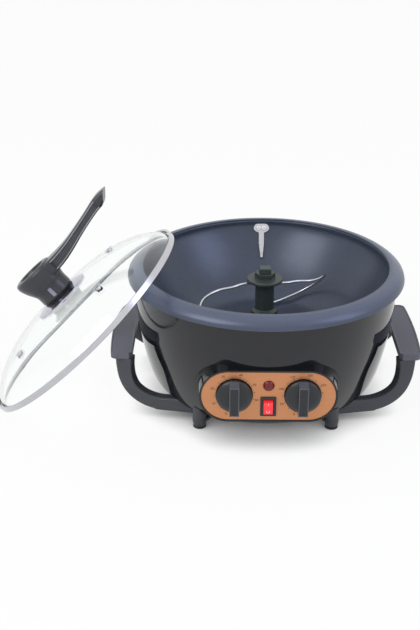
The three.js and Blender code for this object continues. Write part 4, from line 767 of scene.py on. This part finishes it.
def make_baffle():
    """A flat head held by two rivets, and a finger with a raised ridge that hangs along the pan's wall."""
    wall = [(height, radius) for radius, height in pan_inside()]
    radius, head_width, drop = BAFFLE_HEAD
    neck, tip_width, tip_drop = BAFFLE_FINGER
    head = RIM_HEIGHT - drop
    top, bottom, tip = head + radius, head - radius, RIM_HEIGHT - tip_drop

    def back(height):
        return sqrt((read_off(wall, height) - GAP) ** 2 - head_width ** 2 / 4)

    def strip(place, half, height, sheet=BAFFLE_SHEET):
        return [Vector((half * a, place - sheet * b, height))
                for a, b in ((-1, 0), (1, 0), (1, 1), (-1, 1))]

    slope = (back(top) - back(bottom)) / 2
    middle = (back(top) + back(bottom)) / 2
    rings = []
    for i in range(HEAD_STEPS - 1):
        rise = cos(pi * i / HEAD_STEPS)
        if rise > 0:
            half = head_width / 2 - radius * (1 - sqrt(1 - rise * rise))
        else:
            half = between(head_width, neck, min(1, rise * rise * HEAD_TAPER)) / 2
        rings.append(strip(middle + rise * slope, half, head + rise * radius))
    finger = []
    steps, straight = FINGER_STEPS
    for i in range(steps + 1):
        height = between(bottom, tip, i / steps)
        width = between(neck, tip_width, max(0, i - straight) / (steps - straight))
        finger.append((back(height) - BAFFLE_LEAN * i / steps, width / 2, height))
    rings += [strip(*section) for section in finger]
    count, narrower, thicker = BAFFLE_RIDGE
    ridge = loft([strip(place, half * narrower, height, thicker * BAFFLE_SHEET)
                  for place, half, height in finger[:count]])
    piece("baffle_strip", joined(loft(rings), ridge), "steel", ["bean_baffle"], edge=0.25)
    rivet_radius, rise = RIVET_HEAD
    shank, length = RIVET_SHANK
    profile = [(rivet_radius * out, rise * up) for out, up in RIVET_SHARES]
    profile += [(rivet_radius * shank, 0), (rivet_radius * shank, -length), (profile[0][0], -length)]
    lean = turn(pi / 2 - atan2(slope, radius), "X") @ shift(0, 0, BAFFLE_SHEET + GAP)
    for name, side in (("left", -1), ("right", 1)):
        piece(f"rivet_{name}", lathe(profile, SMALL_ROUND), "steel", [f"baffle_rivet_{name}"],
              matrix=shift(side * RIVET_SPACING / 2, middle, head) @ lean, finish=RIVET_STEEL)


# The panel and its controls

def make_panel():
    width, height = (size - COLLAR_LIP - GAP for size in COLLAR_HALF)
    sheet = stadium_loft((width, height, PLATE_FACE - PLATE_THICKNESS), (width, height, PLATE_FACE))
    width, height, _ = SWITCH_BODY
    holes = [moved(rod(radius, -PAST, PAST), on_panel(across, up)) for radius, across, up in (
        (SPINDLE_HOLE[0], -KNOB_ACROSS, KNOB_HEIGHT), (SPINDLE_HOLE[0], KNOB_ACROSS, KNOB_HEIGHT),
        (LAMP_STEM[0] + GAP, 0, LAMP_HEIGHT))]
    switch_hole = block((width + 2 * GAP, height + 2 * GAP, 2 * PAST), (0, 0, 0))
    holes.append(moved(switch_hole, on_panel(0, SWITCH_HEIGHT)))
    piece("panel_sheet", cut(sheet, *holes), "copper_plate", ["panel_plate"], edge=0.3)


def lettering(words, height):
    """Flat letters round the origin, as a thin print."""
    text = bpy.data.curves.new("letters", "FONT")
    text.body = words
    text.size = height * LETTER_SIZE
    text.align_x, text.align_y = "CENTER", "CENTER"
    text.extrude = PRINT / 2
    obj = bpy.data.objects.new("letters", text)
    bpy.context.collection.objects.link(obj)
    return tidied(taken(obj))


def make_dial(name, across, count, step):
    """Ticks printed round a knob, with a number at every second one."""
    inner, outer, width = DIAL_TICK
    reach, height = DIAL_NUMBERS
    marks = []
    for i in range(count):
        angle = radians(DIAL_START - DIAL_STEP * i)
        tick = block((outer - inner, width, PRINT), ((inner + outer) / 2, 0, 0))
        marks.append(moved(tick, turn(angle, "Z")))
        if i % 2 == 0:
            marks.append(at(lettering(str(step * i // 2), height), reach * cos(angle), reach * sin(angle)))
    piece(name, joined(*marks), "copper_plate", matrix=on_panel(across, KNOB_HEIGHT, PRINT), finish=INK)


def thin_ring(inner, outer, thickness, slope, steps):
    """A flat ring that lies on the panel, with its outer edge sloped."""
    return lathe([(inner, HAIR), (outer, HAIR), (outer, thickness / 2), (outer - slope, thickness),
                  (inner, thickness)], steps)


def make_knob(name, body, across):
    radius, skirt, crown = KNOB_RADIUS, KNOB_SKIRT, KNOB_CROWN
    edge = skirt / 4
    base = lathe([(0, 0), (radius - edge, 0), (radius, edge), (radius, skirt),
                  (radius - edge, skirt + edge), (radius * KNOB_SHOULDER, crown - edge / 2),
                  (radius / 2, crown), (0, crown)])
    width, top, slope = KNOB_BAR
    start, end, foot = slope / 4 - radius, radius - slope, radius - slope / 4
    side = [(-radius, skirt / 2), (foot, skirt / 2), (foot, skirt), (end, top), (start, top),
            (-radius, top - slope / 4)]
    bar = moved(plate(side, -width / 2, width / 2), SIDE_ON)
    across_line, length, depth, from_end = POINTER_LINE
    line = block((across_line, length, depth), (0, from_end - radius, top))
    knob = cut(fused(base, bar), rod(SPINDLE_HOLE[1], -PAST, SPINDLE_HOLE[2]), line)
    place = on_panel(across, KNOB_HEIGHT, KNOB_GAP)
    piece(name + "_moulding", knob, "knob_black", [name], body, edge=0.5, matrix=place,
          highlight_finish=PAINTED_EDGE_HIGHLIGHT)
    # A thin raised strip round the bar's top and slope, painted as a highlight, its middle cut away to
    # leave rails along the edges.
    margin, rise, lap = BAR_EDGE
    strip = plate([(start, top), (end, top), (foot, skirt + 1), (radius, skirt + 1),
                   (end + lap, top + rise), (start, top + rise)], -width / 2, width / 2)
    inside = block((end - start - 2 * margin, 4 * rise, width - 2 * margin), ((start + end) / 2, top, 0))
    piece(name + "_edges", moved(cut(strip, inside), SIDE_ON), "knob_black", body=body, matrix=place,
          finish=PAINTED_EDGE_HIGHLIGHT)
    # A thin black ring on the panel round the knob, a painted shadow of the gap beneath its skirt.
    piece(name + "_shadow_ring", thin_ring(*KNOB_SHADOW_RING, ROUND), "gloss_black",
          matrix=on_panel(across, KNOB_HEIGHT))


def make_lamp():
    stem, depth = LAMP_STEM
    turns = [radians(a) for a in range(0, 90, DOME_STEP)]
    dome = [(LAMP_RADIUS * cos(a), GAP + LAMP_DOME * sin(a)) for a in turns]
    lens = lathe([(0, -depth), (stem, -depth), (stem, GAP), *dome, (0, GAP + LAMP_DOME)], SMALL_ROUND)
    place = on_panel(0, LAMP_HEIGHT)
    piece("lamp_dome", lens, "lamp_red", ["lamp_lens"], matrix=place)
    piece("lamp_ring", thin_ring(*LAMP_RING, SMALL_ROUND), "copper_plate", matrix=place)


def make_switch():
    width, height, thickness = BEZEL
    body_width, body_height, depth = SWITCH_BODY
    mouth_width, mouth_height, mouth_depth = SWITCH_MOUTH
    bezel = block((width, height, thickness), (0, 0, thickness / 2))
    body = block((body_width, body_height, depth + 1), (0, 0, (1 - depth) / 2))
    mouth = block((mouth_width, mouth_height, mouth_depth + PAST),
                  (0, 0, thickness + (PAST - mouth_depth) / 2))
    piece("switch_frame", cut(fused(bezel, body), mouth), "knob_black", ["switch_body"], edge=0.4,
          matrix=on_panel(0, SWITCH_HEIGHT))
    half, top, back = ROCKER_HALF, ROCKER_TOP, ROCKER_BACK
    quarter_dip, dip = ROCKER_DISH
    face = profile_run([(half, top), (half / 2, top - quarter_dip), (0, top - dip),
                        (-half / 2, top - quarter_dip), (-half, top)])
    side = [(-half, back / 2), (-half / 2, -back), (half / 2, -back), (half, back / 2), *face]
    place = on_panel(0, SWITCH_HEIGHT, ROCKER_PIVOT - PLATE_FACE) @ turn(radians(ROCKER_TILT), "X")
    key = plate(side, -ROCKER_WIDTH / 2, ROCKER_WIDTH / 2)
    piece("rocker_key", key, "rocker_red", ["switch_rocker"], "rocker", edge=0.35, matrix=place @ SIDE_ON)
    along, height, slope, letter = ROCKER_MARK
    marks = [moved(lettering(words, letter),
                   shift(0, end * along, height) @ turn(radians(end * slope), "X"))
             for words, end in (("I", 1), ("O", -1))]
    piece("rocker_marks", joined(*marks), "rocker_red", body="rocker", matrix=place, finish=PALE_INK)


# Handles and feet

def make_grip(side, name):
    half, inner, corner = GRIP_LENGTH / 2, GRIP_INNER, GRIP_CORNER
    outer = inner + GRIP_WIDTH
    bulge = [(outer + GRIP_BULGE * (1 - t * t), t * (half - corner)) for t in BULGE_STEPS]
    outline = ([(inner, corner / 2 - half), (inner + corner / 2, -half)]
               + arc_run((outer - corner, corner - half), corner, -90, 0, CORNER_STEPS) + bulge
               + arc_run((outer - corner, half - corner), corner, 0, 90, CORNER_STEPS)
               + [(inner + corner / 2, half), (inner, half - corner / 2)])
    grip = plate([(side * x, y) for x, y in outline], GRIP_TOP - GRIP_THICKNESS, GRIP_TOP)
    top = max(grip.faces, key=lambda face: face.calc_center_median().z)
    border, step, drop = GRIP_BORDER
    bmesh.ops.inset_region(grip, faces=[top], thickness=border, depth=0)
    bmesh.ops.inset_region(grip, faces=[top], thickness=step, depth=-drop)
    piece(name + "_moulding", grip, "grip_grey", [name], edge=0.8)


def arm_places(x, y):
    return [(x * between(LUG_PLACE[0], ARM_ACROSS, out), y * between(LUG_PLACE[1], ARM_ALONG, along),
             between(ARM_LOW, GRIP_TOP - GRIP_THICKNESS, up)) for out, along, up in ARM_SHARES]


def arm_lug(x, y, margin):
    start = arm_places(x, y)[-2]
    outline = link_run(start[:2], LUG[0] + margin, (x * LUG_PLACE[0], y * LUG_PLACE[1]), LUG[1] + margin)
    return plate(outline, -LUG[2], 0)


def make_arm(name, x, y):
    """A bent arm from the grip's end that thins into the lug between the foot and the base."""
    run = curve_run(arm_places(x, y), BEND_STEPS)
    run.append(run[-1] + (run[-1] - run[-2]).normalized() * ARM_INTO_BOWL)
    outward = Vector((x * (ARM_ACROSS - LUG_PLACE[0]), y * (ARM_ALONG - LUG_PLACE[1]), 0)).normalized()
    across = outward.cross((0, 0, 1))
    rings = []
    for i, place in enumerate(run):
        share = i / (len(run) - 1)
        tangent = heading(run, i) if i else Vector((0, 0, -1))
        beside = (across - tangent * across.dot(tangent)).normalized()
        half = between(*ARM_WIDTHS, min(1, 2 * share)) / 2
        rings.append(rounded_ring(place, tangent.cross(beside), beside, half, ARM_DEPTH / 2, ARM_CORNER,
                                  ARM_FACETS))
    cover = COVER_EDGE + BOWL_WALL
    arm = cut(loft(rings), bowl_room(), rod(cover, 0, GRIP_TOP, ROUND), rod(cover, -STAND, -LUG[2], ROUND))
    piece(f"arm_{name}_moulding", fused(arm, arm_lug(x, y, 0)), "satin_black", [f"arm_{name}"],
          edge=0.5)


def make_foot(name, x, y):
    across, along = x * FOOT_PLACE[0], y * FOOT_PLACE[1]
    bottom = FOOT_PAD - STAND
    wide, narrow, rise = FOOT_EDGE
    post = lathe([(0, bottom), (FOOT_RADIUS - wide, bottom), (FOOT_RADIUS - narrow, bottom + rise),
                  (FOOT_RADIUS, -LUG[2]), (FOOT_RADIUS, FOOT_TOP), (0, FOOT_TOP)], SMALL_ROUND)
    room = [bowl_room(), rod(COVER_EDGE + BOWL_WALL, 0, FOOT_TOP + PAST, ROUND), arm_lug(x, y, GAP)]
    first, second, thickness = FOOT_FLANGE
    flange = plate(link_run((across, along), first, (x * LUG_PLACE[0], y * LUG_PLACE[1]), second),
                   -LUG[2] - thickness, -LUG[2])
    foot = fused(cut(at(post, across, along), *room), flange)
    piece(f"foot_{name}_moulding", foot, "satin_black", [f"foot_{name}"], edge=0.4)
    radius = FOOT_RADIUS - narrow
    pad = lathe([(0, -STAND), (radius - wide, -STAND), (radius, wide - STAND), (radius, bottom),
                 (0, bottom)], SMALL_ROUND)
    piece(f"foot_pad_{name}_moulding", at(pad, across, along), "rubber", [f"foot_pad_{name}"])


# The stirrer

def make_hub():
    inner, outer, low, ceiling = HUB_BELL
    radius, under, face, chamfer = HUB_DISC
    bore, bore_top = HUB_BORE
    corner, hex_top = HUB_HEX
    body = lathe([(inner, low), (outer, low), (outer, ceiling), (HUB_SLEEVE, ceiling + HUB_SLOPE),
                  (HUB_SLEEVE, under), (radius, under), (radius, face - chamfer), (radius - chamfer, face),
                  (0, face), (0, bore_top), (bore, bore_top), (bore, ceiling), (inner, ceiling)])
    nut = [(corner * cos(pi / 3 * i), corner * sin(pi / 3 * i)) for i in range(6)]
    piece("hub_moulding", fused(body, plate(nut, under + 1, hex_top)), "hub_green", ["stirrer_hub"],
          "stirrer", edge=0.5)
    cap = loft([[Vector((half * a, half * b, height)) for a, b in ((1, 1), (-1, 1), (-1, -1), (1, -1))]
                for half, height in CAP_HALVES])
    piece("cap_moulding", cap, "hub_green", ["hub_cap"], "stirrer", edge=0.7)


def make_wire():
    """One wire through the hub, whose two ends are bent the same way round the axis."""
    arm = [Vector((place, 0, WIRE_HEIGHT)) for place in WIRE_START]
    arm += [Vector((WIRE_REACH * a, WIRE_REACH * b, between(WIRE_HEIGHT, WIRE_LOW, fall)))
            for a, b, fall in WIRE_SHARES]
    run = curve_run([Vector((-p.x, -p.y, p.z)) for p in arm[::-1]] + arm, BEND_STEPS)
    turns = [2 * pi * k / WIRE_CORNERS for k in range(WIRE_CORNERS)]
    side = Vector((0, 1, 0))
    rings = []
    for i, place in enumerate(run):
        tangent = heading(run, i)
        side = (side - tangent * side.dot(tangent)).normalized()
        up = tangent.cross(side)
        rings.append([place + side * (WIRE_RADIUS * cos(a)) + up * (WIRE_RADIUS * sin(a)) for a in turns])
    piece("wire_bend", loft(rings), "steel", ["stirrer_wire"], "stirrer", edge=0.3)


# The lid

def lid_matrix():
    """Stands the lid on its ring's edge and leans it on the pan's rim."""
    tilt, swing = radians(LID_TILT), radians(LID_TURN)
    normal = Vector((sin(tilt) * cos(swing), sin(tilt) * sin(swing), cos(tilt)))
    up = (Vector((0, 0, 1)) - normal * normal.z).normalized()
    place = Matrix((up, normal.cross(up), normal)).transposed().to_4x4()
    return Matrix.Translation(Vector((*LID_FOOT, -STAND)) + up * LID_RADIUS) @ place


def make_glass(lid):
    dome = [(radius * LID_RADIUS, height * LID_RISE) for radius, height in LID_SHARES]
    outside = profile_run([(LID_HOLE, LID_RISE), *dome, (LID_RADIUS - LID_FLAT, LID_REST + LID_GLASS)])
    inside = [p for p in offset_run(outside, LID_GLASS) if p[0] > LID_HOLE and p[1] > LID_REST]
    edge = LID_RADIUS - RING_SHEET - GAP
    glass = lathe([*outside, (edge, LID_REST + LID_GLASS), (edge, LID_REST), *inside[::-1],
                   (LID_HOLE, LID_RISE - LID_GLASS)])
    radius, flange, thickness = VENT
    holes = [at(rod(radius + GAP, 0, 2 * LID_RISE), along, across) for _, along, across, _ in VENTS]
    piece("lid_dome", cut(glass, *holes), "glass", ["lid_glass"], "lid", matrix=lid)
    for name, along, across, replaced in VENTS:
        reach = sqrt(along ** 2 + across ** 2)
        top = read_off(outside, reach - flange) + GAP
        low = read_off(outside, reach + radius) - LID_GLASS
        eyelet = lathe([(radius / 2, low), (radius, low), (radius, top), (flange, top),
                        (flange, top + thickness / 2), (radius, top + thickness),
                        (radius / 2, top + thickness)], SMALL_ROUND)
        piece(f"vent_{name}", at(eyelet, along, across), "steel", replaced, "lid", edge=0.2, matrix=lid)


def make_band(lid):
    inner, sheet = LID_RADIUS - RING_GRIP, RING_SHEET
    flat = sheet + LID_GLASS + 2 * GAP
    low_round, top_run, top_drop = RING_EDGES
    ring = lathe([(inner, 0), (LID_RADIUS - low_round, 0), (LID_RADIUS, low_round),
                  (LID_RADIUS, RING_HEIGHT - sheet), (LID_RADIUS - top_run, RING_HEIGHT - top_drop),
                  (inner + sheet, flat + sheet), (inner + sheet, flat), (LID_RADIUS - sheet, flat),
                  (LID_RADIUS - sheet, sheet), (inner, sheet)])
    piece("lid_band", ring, "steel", ["lid_ring"], "lid", edge=0.25, matrix=lid)
    piece("flange_cone", lathe(FLANGE), "steel", ["handle_flange"], "lid", edge=0.3, matrix=lid,
          finish=POLISHED_STEEL)
    piece("neck_moulding", lathe(NECK), "knob_black", ["handle_neck"], "lid", edge=0.3, matrix=lid)


def make_cup():
    """The oval cup at the handle's foot, and the well that its top is dished with."""
    stations = curve_run([(height, along, half_along) for height, along, half_along, _ in CUP_SHARES],
                         CUP_STEPS)
    widths = curve_run([(height, half_across, 0) for height, _, _, half_across in CUP_SHARES], CUP_STEPS)
    turns = [2 * pi * k / SMALL_ROUND for k in range(SMALL_ROUND)]
    rings = []
    for (height, along, half_along), (_, half_across, _) in zip(stations, widths):
        rings.append([Vector((CUP_HEIGHT * (along + half_along * cos(a)), CUP_HEIGHT * half_across * sin(a),
                              CUP_BOTTOM + CUP_HEIGHT * height)) for a in turns])
    _, along, half_along, half_across = (CUP_HEIGHT * share for share in CUP_SHARES[-1])
    well = loft([[Vector((along + (half_along - shrink) * cos(a), (half_across - shrink) * sin(a),
                          CUP_BOTTOM + CUP_HEIGHT + lift)) for a in turns] for shrink, lift in CUP_WELL])
    return loft(rings), well


def raised_line(panel, side, place, sunk, size):
    """A fine line along one side of the blade, at a share of its half height."""
    return loft([rounded_ring(centre + ACROSS * (side * (width - sunk)) + upright * (place * half), upright,
                              ACROSS, *size, LINE_CORNER, LINE_FACETS)
                 for centre, upright, half, width in panel])


def make_handle(lid):
    cup, well = make_cup()
    first = curve_run([(along, rise, half) for along, rise, half, _, _ in BLADE_SHARES], BLADE_STEPS)
    second = curve_run([(width, lean, 0) for _, _, _, width, lean in BLADE_SHARES], BLADE_STEPS)
    start, end, share = SUNK_SHARES
    rings, panel = [], []
    for (along, rise, half), (width, lean, _) in zip(first, second):
        angle = lean * pi / 2
        upright = Vector((-sin(angle), 0, cos(angle)))
        centre = Vector((along * BLADE_REACH, 0, CUP_BOTTOM + rise * BLADE_REACH))
        half, width = half * BLADE_REACH, width * BLADE_REACH
        corner = min(BLADE_CORNER, BLADE_ROUNDEST * half, BLADE_ROUNDEST * width)
        rings.append(rounded_ring(centre, upright, ACROSS, half, width, corner, BLADE_FACETS))
        if start <= along <= end:
            panel.append((centre, upright, half, width))
    pocket_along, pocket_width, pocket_height, rise, depth = INSET_POCKET
    cup_side = CUP_HEIGHT * CUP_SHARES[0][3]
    tools, ribs, lines = [well], [], []
    for side in (-1, 1):
        tools.append(loft([rounded_ring(centre + ACROSS * (side * (width - SUNK_DEPTH + PAST)), upright,
                                        ACROSS, share * half, PAST, share * half / 4, SUNK_FACETS)
                           for centre, upright, half, width in panel]))
        tools.append(block((pocket_width, PAST, pocket_height),
                           (pocket_along, side * (cup_side - depth + PAST / 2),
                            CUP_BOTTOM + rise + pocket_height / 2 - GAP)))
        ribs += [raised_line(panel[1:-1], side, place, SUNK_DEPTH, RIB_SIZE) for place in RIBS]
        lines += [raised_line(panel, side, place, LINE_SUNK, LINE_SIZE) for place in BORDER_LINES]
    piece("handle_moulding", cut(fused(cup, loft(rings)), *tools), "satin_black", ["lid_handle"], "lid",
          edge=0.5, matrix=lid, finish=POLISHED_PHENOLIC, highlight_finish=PAINTED_EDGE_HIGHLIGHT)
    # The fine ribs carry a painted highlight.
    piece("handle_ribs", joined(*ribs), "satin_black", body="lid", matrix=lid, finish=PAINTED_EDGE_HIGHLIGHT)
    # The bolder lines carry a painted highlight.
    piece("handle_lines", joined(*lines), "satin_black", body="lid", matrix=lid, finish=HANDLE_LINE_HIGHLIGHT)


def dress_cad_nodes():
    """Gives the nodes that keep their own shape their finishes."""
    slots = {part["node"]: part["material_slot"] for part in frame["record"]["subparts"]}
    for name, obj in frame["nodes"].items():
        for holder in obj.material_slots:
            holder.material = FINISHES[slots[name]]


# The studio

def seen_directly(tree):
    """A value of 1 where the camera, a reflection or glass looks at the surface."""
    path = add(tree, "LightPath").outputs
    seen = maths(tree, "ADD", path["Is Camera Ray"], path["Is Glossy Ray"])
    return maths(tree, "ADD", seen, path["Is Transmission Ray"], clamp=True)


def make_floor():
    bm = bmesh.new()
    bmesh.ops.create_grid(bm, x_segments=1, y_segments=1, size=FLOOR_REACH)
    bmesh.ops.translate(bm, vec=(0, 0, -STAND * MM), verts=bm.verts)
    floor = as_object(bm, "studio_floor")
    made, tree, shader = started("white_floor_paint", Base_Color=colour("f6f6f6"), Roughness=0.9)
    # The white that is seen darkens where the body is close, within its own footprint and a little beyond.
    reach, dark, white = CONTACT
    nearness = add(tree, "AmbientOcclusion", {"Distance": reach * MM}, samples=16)
    radius = reach_of(tree, add(tree, "TexCoord").outputs["Object"])
    start, end = CONTACT_END
    shade = maths(tree, "MAXIMUM", ramp(tree, nearness.outputs["AO"], dark, white),
                  ramp(tree, radius, start * MM, end * MM))
    shown = add(tree, "Emission", {"Color": (1, 1, 1, 1), "Strength": shade})
    given_way(tree, shader, shown, maths(tree, "MULTIPLY", seen_directly(tree), SEEN_WHITE))
    floor.data.materials.append(made)


def make_world():
    world = bpy.data.worlds.new("white_studio")
    bpy.context.scene.world = world
    world.use_nodes = True
    tree = world.node_tree
    back = tree.nodes["Background"]
    back.inputs["Color"].default_value = (1, 1, 1, 1)
    tree.links.new(ramp(tree, seen_directly(tree), 0, 1, WORLD_LIGHT), back.inputs["Strength"])


def make_light(name, place, size, power, tint):
    lamp = bpy.data.lights.new(name, "AREA")
    lamp.color = colour(tint)[:3]
    lamp.shape = "RECTANGLE"
    lamp.size, lamp.size_y = size
    lamp.energy = power
    obj = bpy.data.objects.new(name, lamp)
    obj.location = place
    obj.rotation_euler = (-Vector(place)).to_track_quat("-Z", "Y").to_euler()
    bpy.context.collection.objects.link(obj)


def make_camera():
    data = bpy.data.cameras.new("camera")
    data.sensor_fit = "VERTICAL"
    data.sensor_height = SENSOR_HEIGHT
    data.lens = SENSOR_HEIGHT * FOCAL_PIXELS / IMAGE_HEIGHT
    camera = bpy.data.objects.new("camera", data)
    camera.location = Vector(CAMERA_PLACE) * MM
    camera.rotation_euler = Euler((radians(90 + CAMERA_PITCH), 0, radians(CAMERA_YAW)))
    bpy.context.collection.objects.link(camera)
    bpy.context.scene.camera = camera


make_shell()
make_gland()
make_pan()
make_baffle()
make_panel()
make_dial("timer_dial", -KNOB_ACROSS, 13, 10)
make_dial("temperature_dial", KNOB_ACROSS, 12, 50)
make_knob("timer_knob", "timer_control", -KNOB_ACROSS)
make_knob("temperature_knob", "temperature_control", KNOB_ACROSS)
make_lamp()
make_switch()
make_grip(-1, "grip_left")
make_grip(1, "grip_right")
for corner_sides in SIDES:
    make_arm(*corner_sides)
    make_foot(*corner_sides)
make_hub()
make_wire()
lid_place = lid_matrix()
make_glass(lid_place)
make_band(lid_place)
make_handle(lid_place)
dress_cad_nodes()
make_floor()
make_world()
for softbox in SOFTBOXES:
    make_light(*softbox)
make_camera()
bpy.context.scene.view_settings.view_transform = "Standard"
